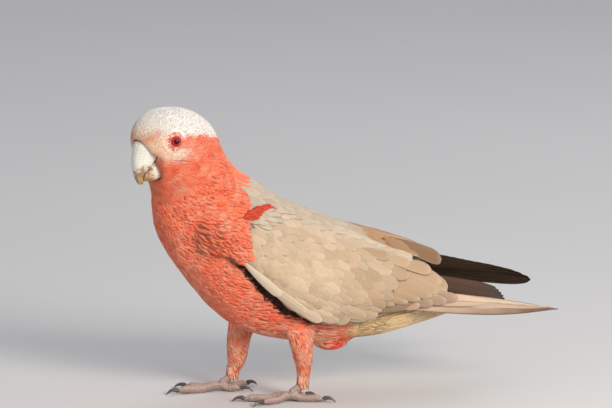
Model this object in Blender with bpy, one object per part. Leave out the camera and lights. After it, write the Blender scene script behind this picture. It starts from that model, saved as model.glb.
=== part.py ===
"""A life-size galah standing in mid step, its wings folded loosely beside the tail, its head turned left.

The bird faces -Y, +X is its left side and the floor is z = 0. Lengths are written in millimetres, and MM
makes them metres. Trunk, neck and head are one loft, sliced across with thin gaps. What lies against the
trunk is cut back by a copy of it that is GAP larger.
"""

import math

import bmesh
import bpy
import numpy as np
from mathutils import Matrix, Vector
from mathutils.bvhtree import BVHTree

MM = 0.001
GAP = 0.35  # clearance between touching pieces

# Stance: the trunk leans to the bird's left about a line along Y, and the head turns left about the neck.
LEAN_HEIGHT = 95.0
LEAN = math.radians(10)
HEAD_TURN = math.radians(23)
NECK_PIVOT_Y = -72.0
HEAD_MIDDLE = (-88.5, 187.0)  # y and z, before the head turns

# The body from the tail's root to the forehead. Each station is a slice: the y and z of its back and of its
# belly, its half width, how far its widest level sags below the middle, and its shares of lean and of turn.
BODY_STATIONS = {
    "coverts' tip": (138, 69.5, 144, 63.5, 4, 0.0, 1.0, 0.0),
    "tail root": (114, 73, 116, 54, 13, 0.0, 1.0, 0.0),
    "undertail": (98, 84, 90, 47.5, 21, 0.0, 1.0, 0.0),
    "rump": (72, 101, 58, 39.5, 31, 0.0, 1.0, 0.0),
    "hips": (42, 118, 22, 36, 37, 0.0, 1.0, 0.0),
    "flank": (10, 133, -18, 41.5, 40, 0.0, 1.0, 0.0),
    "shoulders": (-16, 149.5, -53, 58.3, 41, 0.0, 1.0, 0.0),
    "breast": (-32, 161.2, -79.6, 89, 38, 0.0, 0.9, 0.05),
    "crop": (-40, 168.5, -97.3, 115, 33, 0.0, 0.75, 0.2),
    "neck": (-48, 179.5, -103, 136, 29, 0.0, 0.55, 0.5),
    "nape": (-54.3, 191.3, -104, 148.5, 26, 0.0, 0.35, 0.85),
    "ear": (-60, 201.2, -104.8, 153.5, 24.5, 0.02, 0.25, 1.0),
    "hind crown": (-70, 209.8, -105.6, 156.5, 23, 0.04, 0.2, 1.0),
    "crown": (-83, 215, -106.4, 158.5, 22, 0.06, 0.2, 1.0),
    "brow": (-97.5, 216.8, -107, 160, 21, 0.08, 0.2, 1.0),
    "forehead": (-111, 214, -107, 162, 20.3, 0.1, 0.2, 1.0),
    "lores": (-120.5, 206, -106.7, 164, 17.8, 0.1, 0.2, 1.0),
    "bill root": (-123.5, 196, -106, 166, 14, 0.1, 0.2, 1.0),
}
VENT_TUFT, VENT_TUFT_SIZE = (-4, 31, 38.5), (13, 16, 10)  # long soft feathers that hang behind the legs
RING_POINTS = 24
BODY_LENGTH = 290.0
SLICES = {
    "trunk": ("coverts' tip", "crop", 20),
    "neck": ("crop", "nape", 5),
    "head": ("nape", "bill root", 13),
}

# The wing block: y, then x and z of its upper edge, of its widest line and of its lower edge.
WING_STATIONS = (
    (-51, 36, 133, 42, 125, 41, 117),
    (-38, 27, 147, 45, 123, 44, 105),
    (-14, 17, 145, 47.5, 112, 45, 80),
    (12, 13, 135, 48, 103, 45, 65),
    (42, 12, 122, 46, 96, 42, 66),
    (70, 13, 110.5, 43, 91, 40, 67),
    (94, 18, 102, 38, 87, 37, 70),
    (111, 28, 88.5, 34, 84, 34, 79),
)
WING_LIFT = 2.0  # least height of the wing's outer face over the trunk
WING_DEPTH = 15.0  # of the uncut block, most of it inside the trunk
WING_REAR_DEPTH = 4.0
# Wing-tip feathers, the lowest and longest first: z of the root and y of the tip. Each wing has its tip's x
# and z, and how much higher each next tip lies.
PRIMARIES = ((73, 191), (75, 181), (77, 168), (79, 153), (80, 140), (80.5, 127))
WING_TIPS = {1: (38, 65, 2.2), -1: (29, 63.5, 5.2)}
PRIMARY_ROOT_X, PRIMARY_ROOT_Y, PRIMARY_HALF_WIDTH = 40.3, 62, 5.2
TAIL_COUNT = 12

SKIN_PINK = (0.80, 0.22, 0.17, 1)
GREY = (0.55, 0.50, 0.45, 1)
DARK = (0.16, 0.12, 0.11, 1)
BONE = (0.78, 0.76, 0.70, 1)
LEG_GREY = (0.42, 0.36, 0.35, 1)
CLAW = (0.10, 0.09, 0.09, 1)
IRIS = (0.45, 0.03, 0.05, 1)


def clear_scene():
    for item in list(bpy.data.objects):
        bpy.data.objects.remove(item, do_unlink=True)


def collection(name, hidden=False):
    made = bpy.data.collections.new(name)
    bpy.context.scene.collection.children.link(made)
    made.hide_render = hidden
    return made


def material(name, colour, roughness, metallic=0.0):
    made = bpy.data.materials.get(name) or bpy.data.materials.new(name)
    made.use_nodes = True
    shader = made.node_tree.nodes["Principled BSDF"]
    shader.inputs["Base Color"].default_value = colour
    shader.inputs["Roughness"].default_value = roughness
    shader.inputs["Metallic"].default_value = metallic
    return made


def spline(stations, places):
    """The rows of stations read at places, from 0 to 1, along one natural cubic."""
    rows = np.array(stations, float)
    last = len(rows) - 1
    matrix, right = np.eye(last + 1), np.zeros_like(rows)
    for i in range(1, last):
        matrix[i, i - 1 : i + 2] = (1, 4, 1)
        right[i] = 6 * (rows[i - 1] - 2 * rows[i] + rows[i + 1])
    bend = np.linalg.solve(matrix, right)
    at = np.clip(np.asarray(places, float), 0, 1) * last
    i = np.minimum(at.astype(int), last - 1)
    t = (at - i)[:, None]
    s = 1 - t
    return (
        s * rows[i]
        + t * rows[i + 1]
        + ((s**3 - s) * bend[i] + (t**3 - t) * bend[i + 1]) / 6
    )


def mesh_object(name, bm, home, look, smooth=True):
    """A bmesh in millimetres as an object in metres, in the collection home."""
    bmesh.ops.scale(bm, vec=(MM,) * 3, verts=bm.verts)
    bmesh.ops.recalc_face_normals(bm, faces=bm.faces)
    mesh = bpy.data.meshes.new(name)
    bm.to_mesh(mesh)
    bm.free()
    if smooth:
        mesh.shade_smooth()
        mesh.set_sharp_from_angle(angle=math.radians(50))
    mesh.materials.append(look)
    made = bpy.data.objects.new(name, mesh)
    home.objects.link(made)
    return made


def loft(name, rings, home, look):
    """A closed skin over rings of equal count, each end closed round its middle."""
    bm = bmesh.new()
    rows = [[bm.verts.new(Vector(p)) for p in ring] for ring in rings]
    count = len(rows[0])
    for near, far in zip(rows, rows[1:]):
        for i in range(count):
            k = (i + 1) % count
            bm.faces.new((near[i], near[k], far[k], far[i]))
    for row, ring in ((rows[0], rings[0]), (rows[-1], rings[-1])):
        middle = bm.verts.new(Vector(np.mean(ring, axis=0)))
        for i in range(count):
            bm.faces.new((row[i], row[(i + 1) % count], middle))
    return mesh_object(name, bm, home, look)


def as_mesh(item, name=None):
    """The object's evaluated shape as a plain mesh object that takes its place."""
    graph = bpy.context.evaluated_depsgraph_get()
    mesh = bpy.data.meshes.new_from_object(item.evaluated_get(graph))
    bm = bmesh.new()
    bm.from_mesh(mesh)
    bmesh.ops.remove_doubles(bm, verts=bm.verts, dist=0.004 * MM)
    bm.to_mesh(mesh)
    bm.free()
    made = bpy.data.objects.new("making", mesh)
    made.matrix_world = item.matrix_world.copy()
    for home in item.users_collection:
        home.objects.link(made)
    name = name or item.name
    bpy.data.objects.remove(item, do_unlink=True)
    made.name = name
    return made


def without_crumbs(mesh):
    """Removes the slivers that a cut has parted from the main shell."""
    bm = bmesh.new()
    bm.from_mesh(mesh)
    left, shells = set(bm.verts), []
    while left:
        shell, edge = set(), [left.pop()]
        while edge:
            vertex = edge.pop()
            shell.add(vertex)
            found = {link.other_vert(vertex) for link in vertex.link_edges} & left
            left -= found
            edge += found
        shells.append(shell)
    shells.sort(key=len)
    slivers = [shell for shell in shells if len(shell) < 0.06 * len(shells[-1])]
    bmesh.ops.delete(bm, geom=[vertex for shell in slivers for vertex in shell])
    bm.to_mesh(mesh)
    bm.free()


def volume_and_leaks(mesh):
    """The mesh's volume and the count of its edges that do not join just two faces."""
    bm = bmesh.new()
    bm.from_mesh(mesh)
    found = abs(bm.calc_volume()), sum(len(edge.link_faces) != 2 for edge in bm.edges)
    bm.free()
    return found


def combine(target, other, operation, keep=False):
    """Applies one exact Boolean to target and returns the new object.

    Now and then the solver drops a piece where faces almost touch. So a result counts only where it is
    closed and its volume adds up. Otherwise the next try moves the other object a little.
    """
    change = target.modifiers.new(operation.lower(), "BOOLEAN")
    change.object, change.solver = other, "EXACT"
    own, others = volume_and_leaks(target.data)[0], volume_and_leaks(other.data)[0]

    def outcome(kind):
        change.operation = kind
        bpy.context.view_layer.update()
        graph = bpy.context.evaluated_depsgraph_get()
        return volume_and_leaks(target.evaluated_get(graph).data)

    for shift in (0.0, 0.011, -0.013, 0.019, -0.023):
        other.location = Vector((1, 0.7, -0.8)) * shift * MM
        for careful in (True, False):
            change.use_self = careful
            common = outcome("INTERSECT")[0]
            volume, leaks = outcome(operation)
            expected = own + others - common if operation == "UNION" else own - common
            if not leaks and abs(volume - expected) < 0.004 * own:
                break
        else:
            continue
        break
    made = as_mesh(target)
    without_crumbs(made.data)
    if not keep:
        bpy.data.objects.remove(other, do_unlink=True)
    return made


def tube(name, points, radii, home, look, sides=2):
    """A round limb through points, its thickness following radii, closed at both ends."""
    curve = bpy.data.curves.new(name, "CURVE")
    curve.dimensions = "3D"
    curve.bevel_depth, curve.bevel_resolution, curve.use_fill_caps = MM, sides, True
    line = curve.splines.new("POLY")
    line.points.add(len(points) - 1)
    for point, place, radius in zip(line.points, points, radii):
        point.co = (*(Vector(place) * MM), 1)
        point.radius = radius
    curve.materials.append(look)
    made = bpy.data.objects.new(name, curve)
    home.objects.link(made)
    bpy.context.view_layer.update()
    return as_mesh(made)


def leaned(points, share=1.0):
    """Points of the upright body after it leans to its left about LEAN_HEIGHT."""
    points = np.array(points, float)
    angle = LEAN * np.asarray(share)
    x, z = points[..., 0], points[..., 2] - LEAN_HEIGHT
    cos, sin = np.cos(angle), np.sin(angle)
    out = points.copy()
    out[..., 0] = x * cos + z * sin
    out[..., 2] = LEAN_HEIGHT + z * cos - x * sin
    return out


def turned(points, share=1.0):
    """Points of the straight neck and head after they turn left about the neck."""
    points = np.array(points, float)
    angle = HEAD_TURN * share
    x, y = points[..., 0], points[..., 1] - NECK_PIVOT_Y
    cos, sin = math.cos(angle), math.sin(angle)
    out = points.copy()
    out[..., 0] = x * cos - y * sin
    out[..., 1] = NECK_PIVOT_Y + x * sin + y * cos
    return out


HEAD_LEAN = BODY_STATIONS["crown"][6]


def on_head(points):
    """Points given as (left, forward, up) from the head's middle, in the bird's final pose."""
    points = np.array(points, float)
    y, z = HEAD_MIDDLE
    moved = np.stack([points[..., 0], y - points[..., 1], z + points[..., 2]], -1)
    return leaned(turned(moved), HEAD_LEAN)


def body_ring(row, grow):
    back_y, back_z, belly_y, belly_z, half_width, sag, lean, turn = row
    back, belly = np.array([0, back_y, back_z]), np.array([0, belly_y, belly_z])
    up = (back - belly) / np.linalg.norm(back - belly)
    half = np.linalg.norm(back - belly) / 2 + grow
    angles = np.linspace(0, math.tau, RING_POINTS, endpoint=False)
    rise = np.cos(angles) - sag * np.sin(angles) ** 2
    out = np.sign(np.sin(angles)) * np.abs(np.sin(angles)) ** 0.92
    ring = (back + belly) / 2 + np.outer(rise * half, up)
    ring[:, 0] += out * (half_width + grow)
    return leaned(turned(ring, turn), lean)


def slice_places(name):
    """Where a slice has its rings, from 0 to 1 along the stations."""
    names, last = list(BODY_STATIONS), len(BODY_STATIONS) - 1
    start, end, count = SLICES[name]
    return np.linspace(names.index(start) / last, names.index(end) / last, count)


def body_rings(places, grow=0.0):
    return [body_ring(row, grow) for row in spline(list(BODY_STATIONS.values()), places)]


def body_slice(name, home, look):
    """One slice of the body, whose ends stand back by half a gap where another slice follows."""
    places = slice_places(name)
    step = GAP / 2 / BODY_LENGTH
    if places[0] > 0:
        places[0] += step
    if places[-1] < 1:
        places[-1] -= step
    return loft(name, body_rings(places), home, look)


def trunk_neck_head(parts, cutters):
    pink, grey = material("plumage pink", SKIN_PINK, 0.8), material("plumage grey", GREY, 0.8)
    trunk = body_slice("trunk", parts, pink)
    body_slice("neck", parts, pink)
    head = body_slice("head", parts, grey)
    tuft = ball("vent tuft", (0, 0, 0), 1.0, cutters, pink)
    size = Matrix.Diagonal((*VENT_TUFT_SIZE, 1))
    tuft.data.transform(Matrix.Translation(Vector(VENT_TUFT) * MM) @ size)
    trunk = combine(trunk, tuft, "UNION")
    places = np.unique(np.concatenate([slice_places(name) for name in SLICES]).round(9))
    room = loft("body room", body_rings(places, GAP), cutters, pink)
    return trunk, head, room


# The head's own features, as (left, forward, up) from its middle.
EYE = (17.6, 12.9, 7.7)
EYE_RADIUS = 5.3
# The line the face's feathers stop at beside the bill, as (forward, up): from the forehead back to the
# corner of the mouth, then down to the chin and round in front of the bill.
FACE_EDGE = (
    (37, 7.4),
    (33, 1.2),
    (28.6, -1.8),
    (23.4, -4.4),
    (23.2, -19.5),
    (24, -24),
    (24, -40),
    (60, -40),
    (60, 7.4),
)


def bill_ring(top, heel, half_width, pinch, count=14):
    """A slice of the upper bill between its ridge and its cutting edge: an arch, narrower at the ridge."""
    top, heel = np.array(top, float), np.array(heel, float)
    angles = np.linspace(0, math.tau, count, endpoint=False)
    along = (1 - np.cos(angles)) / 2
    square = np.where(along > 0.5, 0.3, 0.85)
    width = np.sign(np.sin(angles)) * np.abs(np.sin(angles)) ** square
    width *= half_width * (pinch + (1 - pinch) * along)
    flat = top + np.outer(along, heel - top)
    return on_head(np.stack([width, flat[:, 0], flat[:, 1]], -1))


def upper_bill(parts):
    """From the forehead round to the hooked tip: ridge and edge (forward, up), then half width and pinch."""
    slices = (
        (22.0, 7.6, 15.0, -4.0, 11.2, 0.9),
        (32.5, 7.4, 20.5, -4.8, 11.4, 0.74),
        (35.6, 2.5, 24.0, -9.0, 10.2, 0.62),
        (37.0, -4.5, 26.8, -12.8, 8.4, 0.6),
        (37.0, -11.5, 29.0, -15.8, 6.6, 0.62),
        (35.4, -17.6, 30.2, -18.8, 5.0, 0.7),
        (33.2, -22.4, 29.2, -22.6, 3.4, 0.85),
        (31.8, -24.6, 28.4, -24.2, 2.0, 1.0),
    )
    rows = spline(slices, np.linspace(0, 1, 13))
    rings = [bill_ring(row[:2], row[2:4], max(row[4], 0.6), row[5]) for row in rows]
    return loft("bill_upper", rings, parts, material("bill", BONE, 0.45))


def lower_bill(parts, cutters):
    """A deep scoop under the upper bill: back and front rim points (forward, up), half width and depth."""
    slices = (
        (14.0, -6.0, 8.6, 14.0),
        (21.5, -7.5, 8.9, 15.0),
        (26.5, -12.0, 8.0, 10.5),
        (30.0, -16.5, 5.6, 6.0),
        (31.6, -19.0, 3.2, 3.0),
    )
    rings = []
    for forward, up, half_width, depth in spline(slices, np.linspace(0, 1, 9)):
        angles = np.linspace(0, math.tau, 14, endpoint=False)
        square = np.where(np.cos(angles) > 0, 0.5, 0.9)
        side = np.sign(np.sin(angles)) * np.abs(np.sin(angles)) ** square * half_width
        drop = up - depth * (1 - np.cos(angles)) / 2
        lean = forward - 0.18 * (up - drop)
        rings.append(on_head(np.stack([side, lean, drop], -1)))
    return loft("bill_lower", rings, parts, material("bill", BONE, 0.45))


def ball(name, place, radius, home, look, segments=12):
    bm = bmesh.new()
    bmesh.ops.create_uvsphere(bm, u_segments=segments, v_segments=segments // 2, radius=radius)
    bmesh.ops.translate(bm, vec=Vector(place), verts=bm.verts)
    return mesh_object(name, bm, home, look)


def grown(item, home, distance):
    """A copy of a closed object pushed out along its normals, for use as a cutter."""
    graph = bpy.context.evaluated_depsgraph_get()
    mesh = bpy.data.meshes.new_from_object(item.evaluated_get(graph))
    made = bpy.data.objects.new(item.name + " room", mesh)
    home.objects.link(made)
    swell = made.modifiers.new("swell", "DISPLACE")
    swell.strength, swell.mid_level = distance * MM, 0.0
    bpy.context.view_layer.update()
    return as_mesh(made)


def face_cutter(cutters):
    """A block across the whole head whose rear faces follow FACE_EDGE."""
    bm = bmesh.new()
    left, right = (
        [bm.verts.new(Vector(on_head((side * 30, forward, up)))) for forward, up in FACE_EDGE]
        for side in (1, -1)
    )
    bm.faces.new(left)
    bm.faces.new(right[::-1])
    for i in range(len(left)):
        k = (i + 1) % len(left)
        bm.faces.new((left[k], left[i], right[i], right[k]))
    return mesh_object("face cutter", bm, cutters, material("plumage grey", GREY, 0.8), smooth=False)


def face(head, parts, cutters):
    """Bill and eyes, each in room that is cut for it. Returns the finished head."""
    head = combine(head, face_cutter(cutters), "DIFFERENCE")
    upper = upper_bill(parts)
    lower = lower_bill(parts, cutters)
    lower = combine(lower, grown(upper, cutters, GAP), "DIFFERENCE")
    for side, name in ((1, "left"), (-1, "right")):
        x, forward, up = EYE
        place = on_head((side * x, forward, up))
        ball("eye_" + name, place, EYE_RADIUS, parts, material("eye", IRIS, 0.1))
        socket = ball("socket " + name, place, EYE_RADIUS + GAP, cutters, material("eye", IRIS, 0.1))
        head = combine(head, socket, "DIFFERENCE")
    for piece in (upper, lower):
        head = combine(head, grown(piece, cutters, GAP), "DIFFERENCE")
    return head


VANE_SHAPE = ((0.0, 0.35), (0.14, 0.75), (0.55, 1.0), (0.9, 0.78), (1.0, 0.3))


def vane(name, root, tip, half_width, across, thickness, home, look, bow=0.0):
    """One large feather as a thin plate: across is the way its width runs, and bow lifts its middle."""
    root, tip, across = Vector(root), Vector(tip), Vector(across)
    along = (tip - root).normalized()
    across = (across - along * across.dot(along)).normalized()
    face_up = along.cross(across)
    rings = []
    for share, width in VANE_SHAPE:
        middle = root.lerp(tip, share) + face_up * bow * math.sin(math.pi * share)
        w, rim, ridge = half_width * width, 0.3, thickness / 2
        outline = ((w, rim), (0, ridge), (-w, rim), (-w, -rim), (0, -ridge), (w, -rim))
        rings.append([middle + across * x + face_up * z for x, z in outline])
    return loft(name, rings, home, look)


def joined(pieces):
    whole = pieces[0]
    for piece in pieces[1:]:
        whole = combine(whole, piece, "UNION")
    return whole


def lifted(points, surface, least):
    """Points pushed out, where they need it, to stand at least so far off the trunk."""
    out = []
    for point in points:
        place, normal, _, _ = surface.find_nearest(Vector(point) * MM)
        short = least * MM - (Vector(point) * MM - place).dot(normal)
        out.append(Vector(point) + normal * max(short, 0) / MM)
    return np.array(out)


def wing_block(name, side, surface, home, look):
    """Coverts and secondaries: a curved slab whose outer face runs over three guide lines."""
    rings = []
    for row in spline(WING_STATIONS, np.linspace(0, 1, 15)):
        y, guides = row[0], row[1:].reshape(3, 2)
        depth = WING_REAR_DEPTH + (WING_DEPTH - WING_REAR_DEPTH) * np.clip((72 - y) / 40, 0, 1)
        depth = min(depth, 0.45 * np.linalg.norm(guides[0] - guides[2]) + 2)
        t = np.linspace(0, 1, 8)[:, None]
        weights = (1 - t) * (1 - 2 * t), 4 * t * (1 - t), t * (2 * t - 1)
        outer = sum(weight * guide for weight, guide in zip(weights, guides))
        outer = np.column_stack([side * outer[:, 0], np.full(len(t), y), outer[:, 1]])
        outer = lifted(leaned(outer), surface, WING_LIFT)
        inward = leaned((0, y, guides[1:, 1].mean())) - outer
        inward /= np.linalg.norm(inward, axis=1, keepdims=True)
        taper = np.clip(np.sin(math.pi * (0.08 + 0.84 * t)) * 1.6, 0.2, 1)
        inner = outer + inward * depth * taper
        rings.append(np.vstack([outer, inner[::-1]]))
    return loft(name, rings, home, look)


def primaries(side, home, look):
    """The wing's tip as one blade: the outline of its stacked feathers, thicker where more of them lie."""
    tip_x, tip_z, fan = WING_TIPS[side]
    shares, widths = np.array(VANE_SHAPE).T
    rings = []
    for y in np.linspace(PRIMARY_ROOT_Y, PRIMARIES[0][1], 19):
        edges = []
        for i, (root_z, tip_y) in enumerate(PRIMARIES):
            share = (y - PRIMARY_ROOT_Y) / (tip_y - PRIMARY_ROOT_Y)
            if share > 1:
                break
            x = PRIMARY_ROOT_X + (tip_x - PRIMARY_ROOT_X - 1.2 * i) * share
            z = root_z + (tip_z + fan * i**0.84 - root_z) * share
            half = PRIMARY_HALF_WIDTH * np.interp(share, shares, widths)
            edges += [(z - half, x), (z + half, x)]
        (low, low_x), (high, high_x) = min(edges), max(edges)
        thick = 0.7 + 0.15 * len(edges)
        ring = []
        for turn in np.linspace(0, math.tau, 10, endpoint=False):
            level = (1 - math.cos(turn)) / 2
            x = low_x + (high_x - low_x) * level + math.sin(turn) * thick
            ring.append((side * x, y, low + (high - low) * level))
        rings.append(leaned(ring))
    return loft("primaries", rings, home, look)


def leaned_way(way):
    start, end = leaned([(0, 0, LEAN_HEIGHT), (way[0], way[1], way[2] + LEAN_HEIGHT)])
    return end - start


def wing(name, side, room, parts):
    look = material("plumage grey", GREY, 0.8)
    surface = BVHTree.FromObject(room, bpy.context.evaluated_depsgraph_get())
    block = wing_block(name, side, surface, parts, look)
    whole = combine(block, primaries(side, parts, look), "UNION")
    return combine(whole, room, "DIFFERENCE", keep=True)


def tail(room, parts):
    """Twelve vanes in a low roof, the middle pair longest and on top."""
    look = material("plumage dark", DARK, 0.7)
    made = []
    for i in range(TAIL_COUNT):
        out = i - (TAIL_COUNT - 1) / 2
        root = (out * 2.0, 64, 84.0 - 0.3 * abs(out))
        tip = (out * 3.7, 157 - 0.6 * abs(out) ** 1.7, 70.3 - 0.7 * abs(out))
        across = (1, 0, -0.13 * np.sign(out))
        ends = leaned([root, tip])
        made.append(vane(f"tail vane {i}", *ends, 7.4, leaned_way(across), 1.8, parts, look))
    whole = joined(made)
    whole.name = "tail"
    return combine(whole, room, "DIFFERENCE", keep=True)


# Feathered legs as rows of x, y, z, half length and half width, then the heel's and the foot's middle.
LEGS = {
    "left": {
        "thigh": (
            (17, 2, 66, 17, 13),
            (21, 2, 52, 12.5, 11),
            (24, 2, 42, 10, 9.5),
            (25, 3, 31, 8.2, 8.4),
            (25, 3.5, 20.5, 6.3, 6.4),
            (25, 3, 11, 5.2, 5.2),
        ),
        "heel": (25, 4, 12.5),
        "foot": (25, -8, 4.2),
        "heading": math.radians(4),
    },
    "right": {
        "thigh": (
            (-20, -24, 64, 17, 13),
            (-23, -29, 48, 12, 11),
            (-24, -32.3, 35, 9.7, 9),
            (-24, -33, 23, 8.4, 7.8),
            (-24, -35.5, 14, 6.1, 6),
            (-24, -37, 9.5, 4.8, 4.8),
        ),
        "heel": (-24, -36, 11.5),
        "foot": (-24, -47, 4.2),
        "heading": math.radians(-6),
    },
}
# Two toes point forward and two back: heading from straight ahead, length and radius at the root.
TOES = (
    (math.radians(-14), 31.0, 3.4),
    (math.radians(24), 24.0, 3.1),
    (math.radians(152), 25.0, 3.1),
    (math.radians(-160), 16.0, 3.0),
)
TOE_HEIGHT = 2.7
CLAW_LENGTH = 10.5


def thigh(name, rows, room, parts):
    rings = []
    for x, y, z, half_length, half_width in spline(rows, np.linspace(0, 1, 10)):
        angles = np.linspace(0, math.tau, 14, endpoint=False)
        side, front = x + np.cos(angles) * half_width, y + np.sin(angles) * half_length
        rings.append(np.stack([side, front, np.full(14, z)], -1))
    made = loft(name, rings, parts, material("plumage pink", SKIN_PINK, 0.8))
    return combine(made, room, "DIFFERENCE", keep=True)


def toe_line(foot, heading, length):
    """The middle line of a toe: down from the foot, then low along the floor with two soft knuckles."""
    way = Vector((math.sin(heading), -math.cos(heading), 0))
    start = Vector(foot)
    places = [start, start + way * length * 0.18]
    for share in (0.4, 0.6, 0.8, 1.0):
        lift = 0.5 * math.sin(share * math.tau * 1.5)
        places.append(start + way * length * share - Vector((0, 0, foot[2] - TOE_HEIGHT - lift)))
    return way, places


def claw(name, start, way, parts):
    """A hooked nail that leaves the toe's end upwards a little and comes down to the floor."""
    points, radii = [], []
    for share in np.linspace(0, 1, 6):
        bend = math.radians(38 - 88 * share)
        step = CLAW_LENGTH / 5 * (way * math.cos(bend) + Vector((0, 0, math.sin(bend))))
        points.append(points[-1] + step if points else start)
        radii.append(1.75 * (1 - share) ** 0.8 + 0.25)
    return tube(name, points, radii, parts, material("claw", CLAW, 0.35), sides=1)


def leg(side, room, parts, cutters):
    plan = LEGS[side]
    limb = thigh("thigh_" + side, plan["thigh"], room, parts)
    look = material("leg skin", LEG_GREY, 0.6)
    heel, foot = Vector(plan["heel"]), Vector(plan["foot"])
    shank = [heel + Vector((0, 1.5, 2.0)), heel, heel.lerp(foot, 0.35), heel.lerp(foot, 0.7), foot]
    pieces = [tube("foot_" + side, shank, (3.0, 3.9, 3.0, 3.1, 4.0), parts, look)]
    nails = []
    for number, (heading, length, radius) in enumerate(TOES, 1):
        mirrored = heading if side == "left" else -heading
        way, places = toe_line(foot, mirrored + plan["heading"], length)
        radii = [radius, radius, radius * 0.92, radius, radius * 0.86, radius * 0.8]
        pieces.append(tube(f"toe {side} {number}", places, radii, parts, look))
        nails.append((f"claw_{side}_{number}", places[-1] + way * 0.4, way))
    whole = joined(pieces)
    bm = bmesh.new()
    bmesh.ops.create_cube(bm, size=1)
    bmesh.ops.scale(bm, vec=(200, 200, 20), verts=bm.verts)
    bmesh.ops.translate(bm, vec=(0, 0, -10), verts=bm.verts)
    whole = combine(whole, mesh_object("floor", bm, cutters, look, smooth=False), "DIFFERENCE")
    whole = combine(whole, grown(limb, cutters, GAP), "DIFFERENCE")
    room_for_foot = grown(whole, cutters, GAP)
    for name, start, way in nails:
        nail = claw(name, start, way, parts)
        combine(nail, room_for_foot, "DIFFERENCE", keep=True)
    return whole


def centre_over_floor(items):
    """Moves the whole bird so that its outer box stands centred over the origin, its toes on z = 0."""
    corners = np.array([vertex.co for item in items for vertex in item.data.vertices])
    low, high = corners.min(axis=0), corners.max(axis=0)
    shift = Matrix.Translation((-(low[0] + high[0]) / 2, -(low[1] + high[1]) / 2, -low[2]))
    for item in items:
        item.data.transform(shift)


def main():
    clear_scene()
    parts = collection("galah")
    cutters = collection("cutters", hidden=True)
    trunk, head, room = trunk_neck_head(parts, cutters)
    face(head, parts, cutters)
    wing("wing_left", 1, room, parts)
    wing("wing_right", -1, room, parts)
    tail(room, parts)
    for side in LEGS:
        leg(side, room, parts, cutters)
    centre_over_floor(parts.objects)
    for item in cutters.objects:
        item.hide_render, item.display_type = True, "WIRE"


main()
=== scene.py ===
import math

import bmesh
import bpy
import numpy as np
from mathutils import Matrix, Vector
from mathutils.bvhtree import BVHTree


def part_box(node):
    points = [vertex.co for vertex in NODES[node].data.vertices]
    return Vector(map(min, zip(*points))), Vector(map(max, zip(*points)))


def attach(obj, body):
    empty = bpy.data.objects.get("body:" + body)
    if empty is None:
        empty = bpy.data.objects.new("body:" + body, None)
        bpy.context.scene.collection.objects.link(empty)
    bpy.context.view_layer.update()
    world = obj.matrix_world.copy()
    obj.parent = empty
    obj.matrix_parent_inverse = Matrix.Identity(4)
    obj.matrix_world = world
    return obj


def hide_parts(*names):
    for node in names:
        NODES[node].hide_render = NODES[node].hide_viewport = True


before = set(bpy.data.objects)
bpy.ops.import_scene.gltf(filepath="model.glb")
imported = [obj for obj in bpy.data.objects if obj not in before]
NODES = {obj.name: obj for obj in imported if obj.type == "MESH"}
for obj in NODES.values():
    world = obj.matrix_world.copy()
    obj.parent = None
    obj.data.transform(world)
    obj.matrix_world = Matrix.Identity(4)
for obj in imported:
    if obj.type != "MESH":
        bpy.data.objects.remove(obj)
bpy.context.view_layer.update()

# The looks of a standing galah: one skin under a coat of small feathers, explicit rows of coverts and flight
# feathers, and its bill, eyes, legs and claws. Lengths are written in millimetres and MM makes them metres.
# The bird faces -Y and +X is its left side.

MM = 0.001
FLESH = ("head", "neck", "trunk", "thigh_left", "thigh_right")
SIDES = {"left": 1, "right": -1}

# The stance that the solids have: the trunk leans to its left about a line along Y.
LEAN_X, LEAN_Z = 0.8, 95.0
LEAN = math.radians(10)
BEHIND = -34.5  # where the solids' own y = 0 lies

# Each set of random draws starts from its own number.
WING_SEEDS = {"left": 31, "right": 32}
TAIL_SEED, FRINGE_SEED, WART_SEED = 33, 41, 5


# ---------------------------------------------------------------- places on the bird


def lean(points):
    """Upright body places in millimetres (side, back, up) as places in the row frame, in metres."""
    points = np.atleast_2d(np.array(points, float))
    x, z = points[:, 0], points[:, 2] - LEAN_Z
    cos, sin = math.cos(LEAN), math.sin(LEAN)
    out = np.stack([LEAN_X + x * cos + z * sin, points[:, 1] + BEHIND, LEAN_Z + z * cos - x * sin], -1)
    return out * MM


def upright(places):
    """Row frame places in metres as upright body places in millimetres."""
    places = np.atleast_2d(np.array(places, float)) / MM
    x, z = places[:, 0] - LEAN_X, places[:, 2] - LEAN_Z
    cos, sin = math.cos(LEAN), math.sin(LEAN)
    return np.stack([x * cos - z * sin, places[:, 1] - BEHIND, LEAN_Z + z * cos + x * sin], -1)


def lean_way(way):
    """A direction of the upright body as a direction in the row frame."""
    start, end = lean([(0, 0, 0), way])
    return Vector(end - start).normalized()


def middle(node):
    """The middle of a node's box."""
    low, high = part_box(node)
    return (low + high) / 2


EYE_LEFT, EYE_RIGHT = middle("eye_left"), middle("eye_right")
EYE_RADIUS = (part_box("eye_left")[1].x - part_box("eye_left")[0].x) / 2
HEAD_LEFT = (EYE_LEFT - EYE_RIGHT).normalized()
HEAD_UP = Vector((-HEAD_LEFT.z, 0, HEAD_LEFT.x)).normalized()
HEAD_FORWARD = HEAD_LEFT.cross(HEAD_UP)
EYE_FORWARD, EYE_UP = 12.9, 7.7  # the eyes' place from the head's middle
HEAD_MIDDLE = (EYE_LEFT + EYE_RIGHT) / 2 - (HEAD_FORWARD * EYE_FORWARD + HEAD_UP * EYE_UP) * MM


def on_head(left, forward, up):
    """A place in the row frame, from millimetres left, forward and up from the head's middle."""
    return HEAD_MIDDLE + (HEAD_LEFT * left + HEAD_FORWARD * forward + HEAD_UP * up) * MM


def head_places(places):
    """Row frame places as millimetres left, forward and up from the head's middle."""
    moved = (np.atleast_2d(places) - np.array(HEAD_MIDDLE)) / MM
    return moved @ np.array([HEAD_LEFT, HEAD_FORWARD, HEAD_UP]).T


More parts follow.
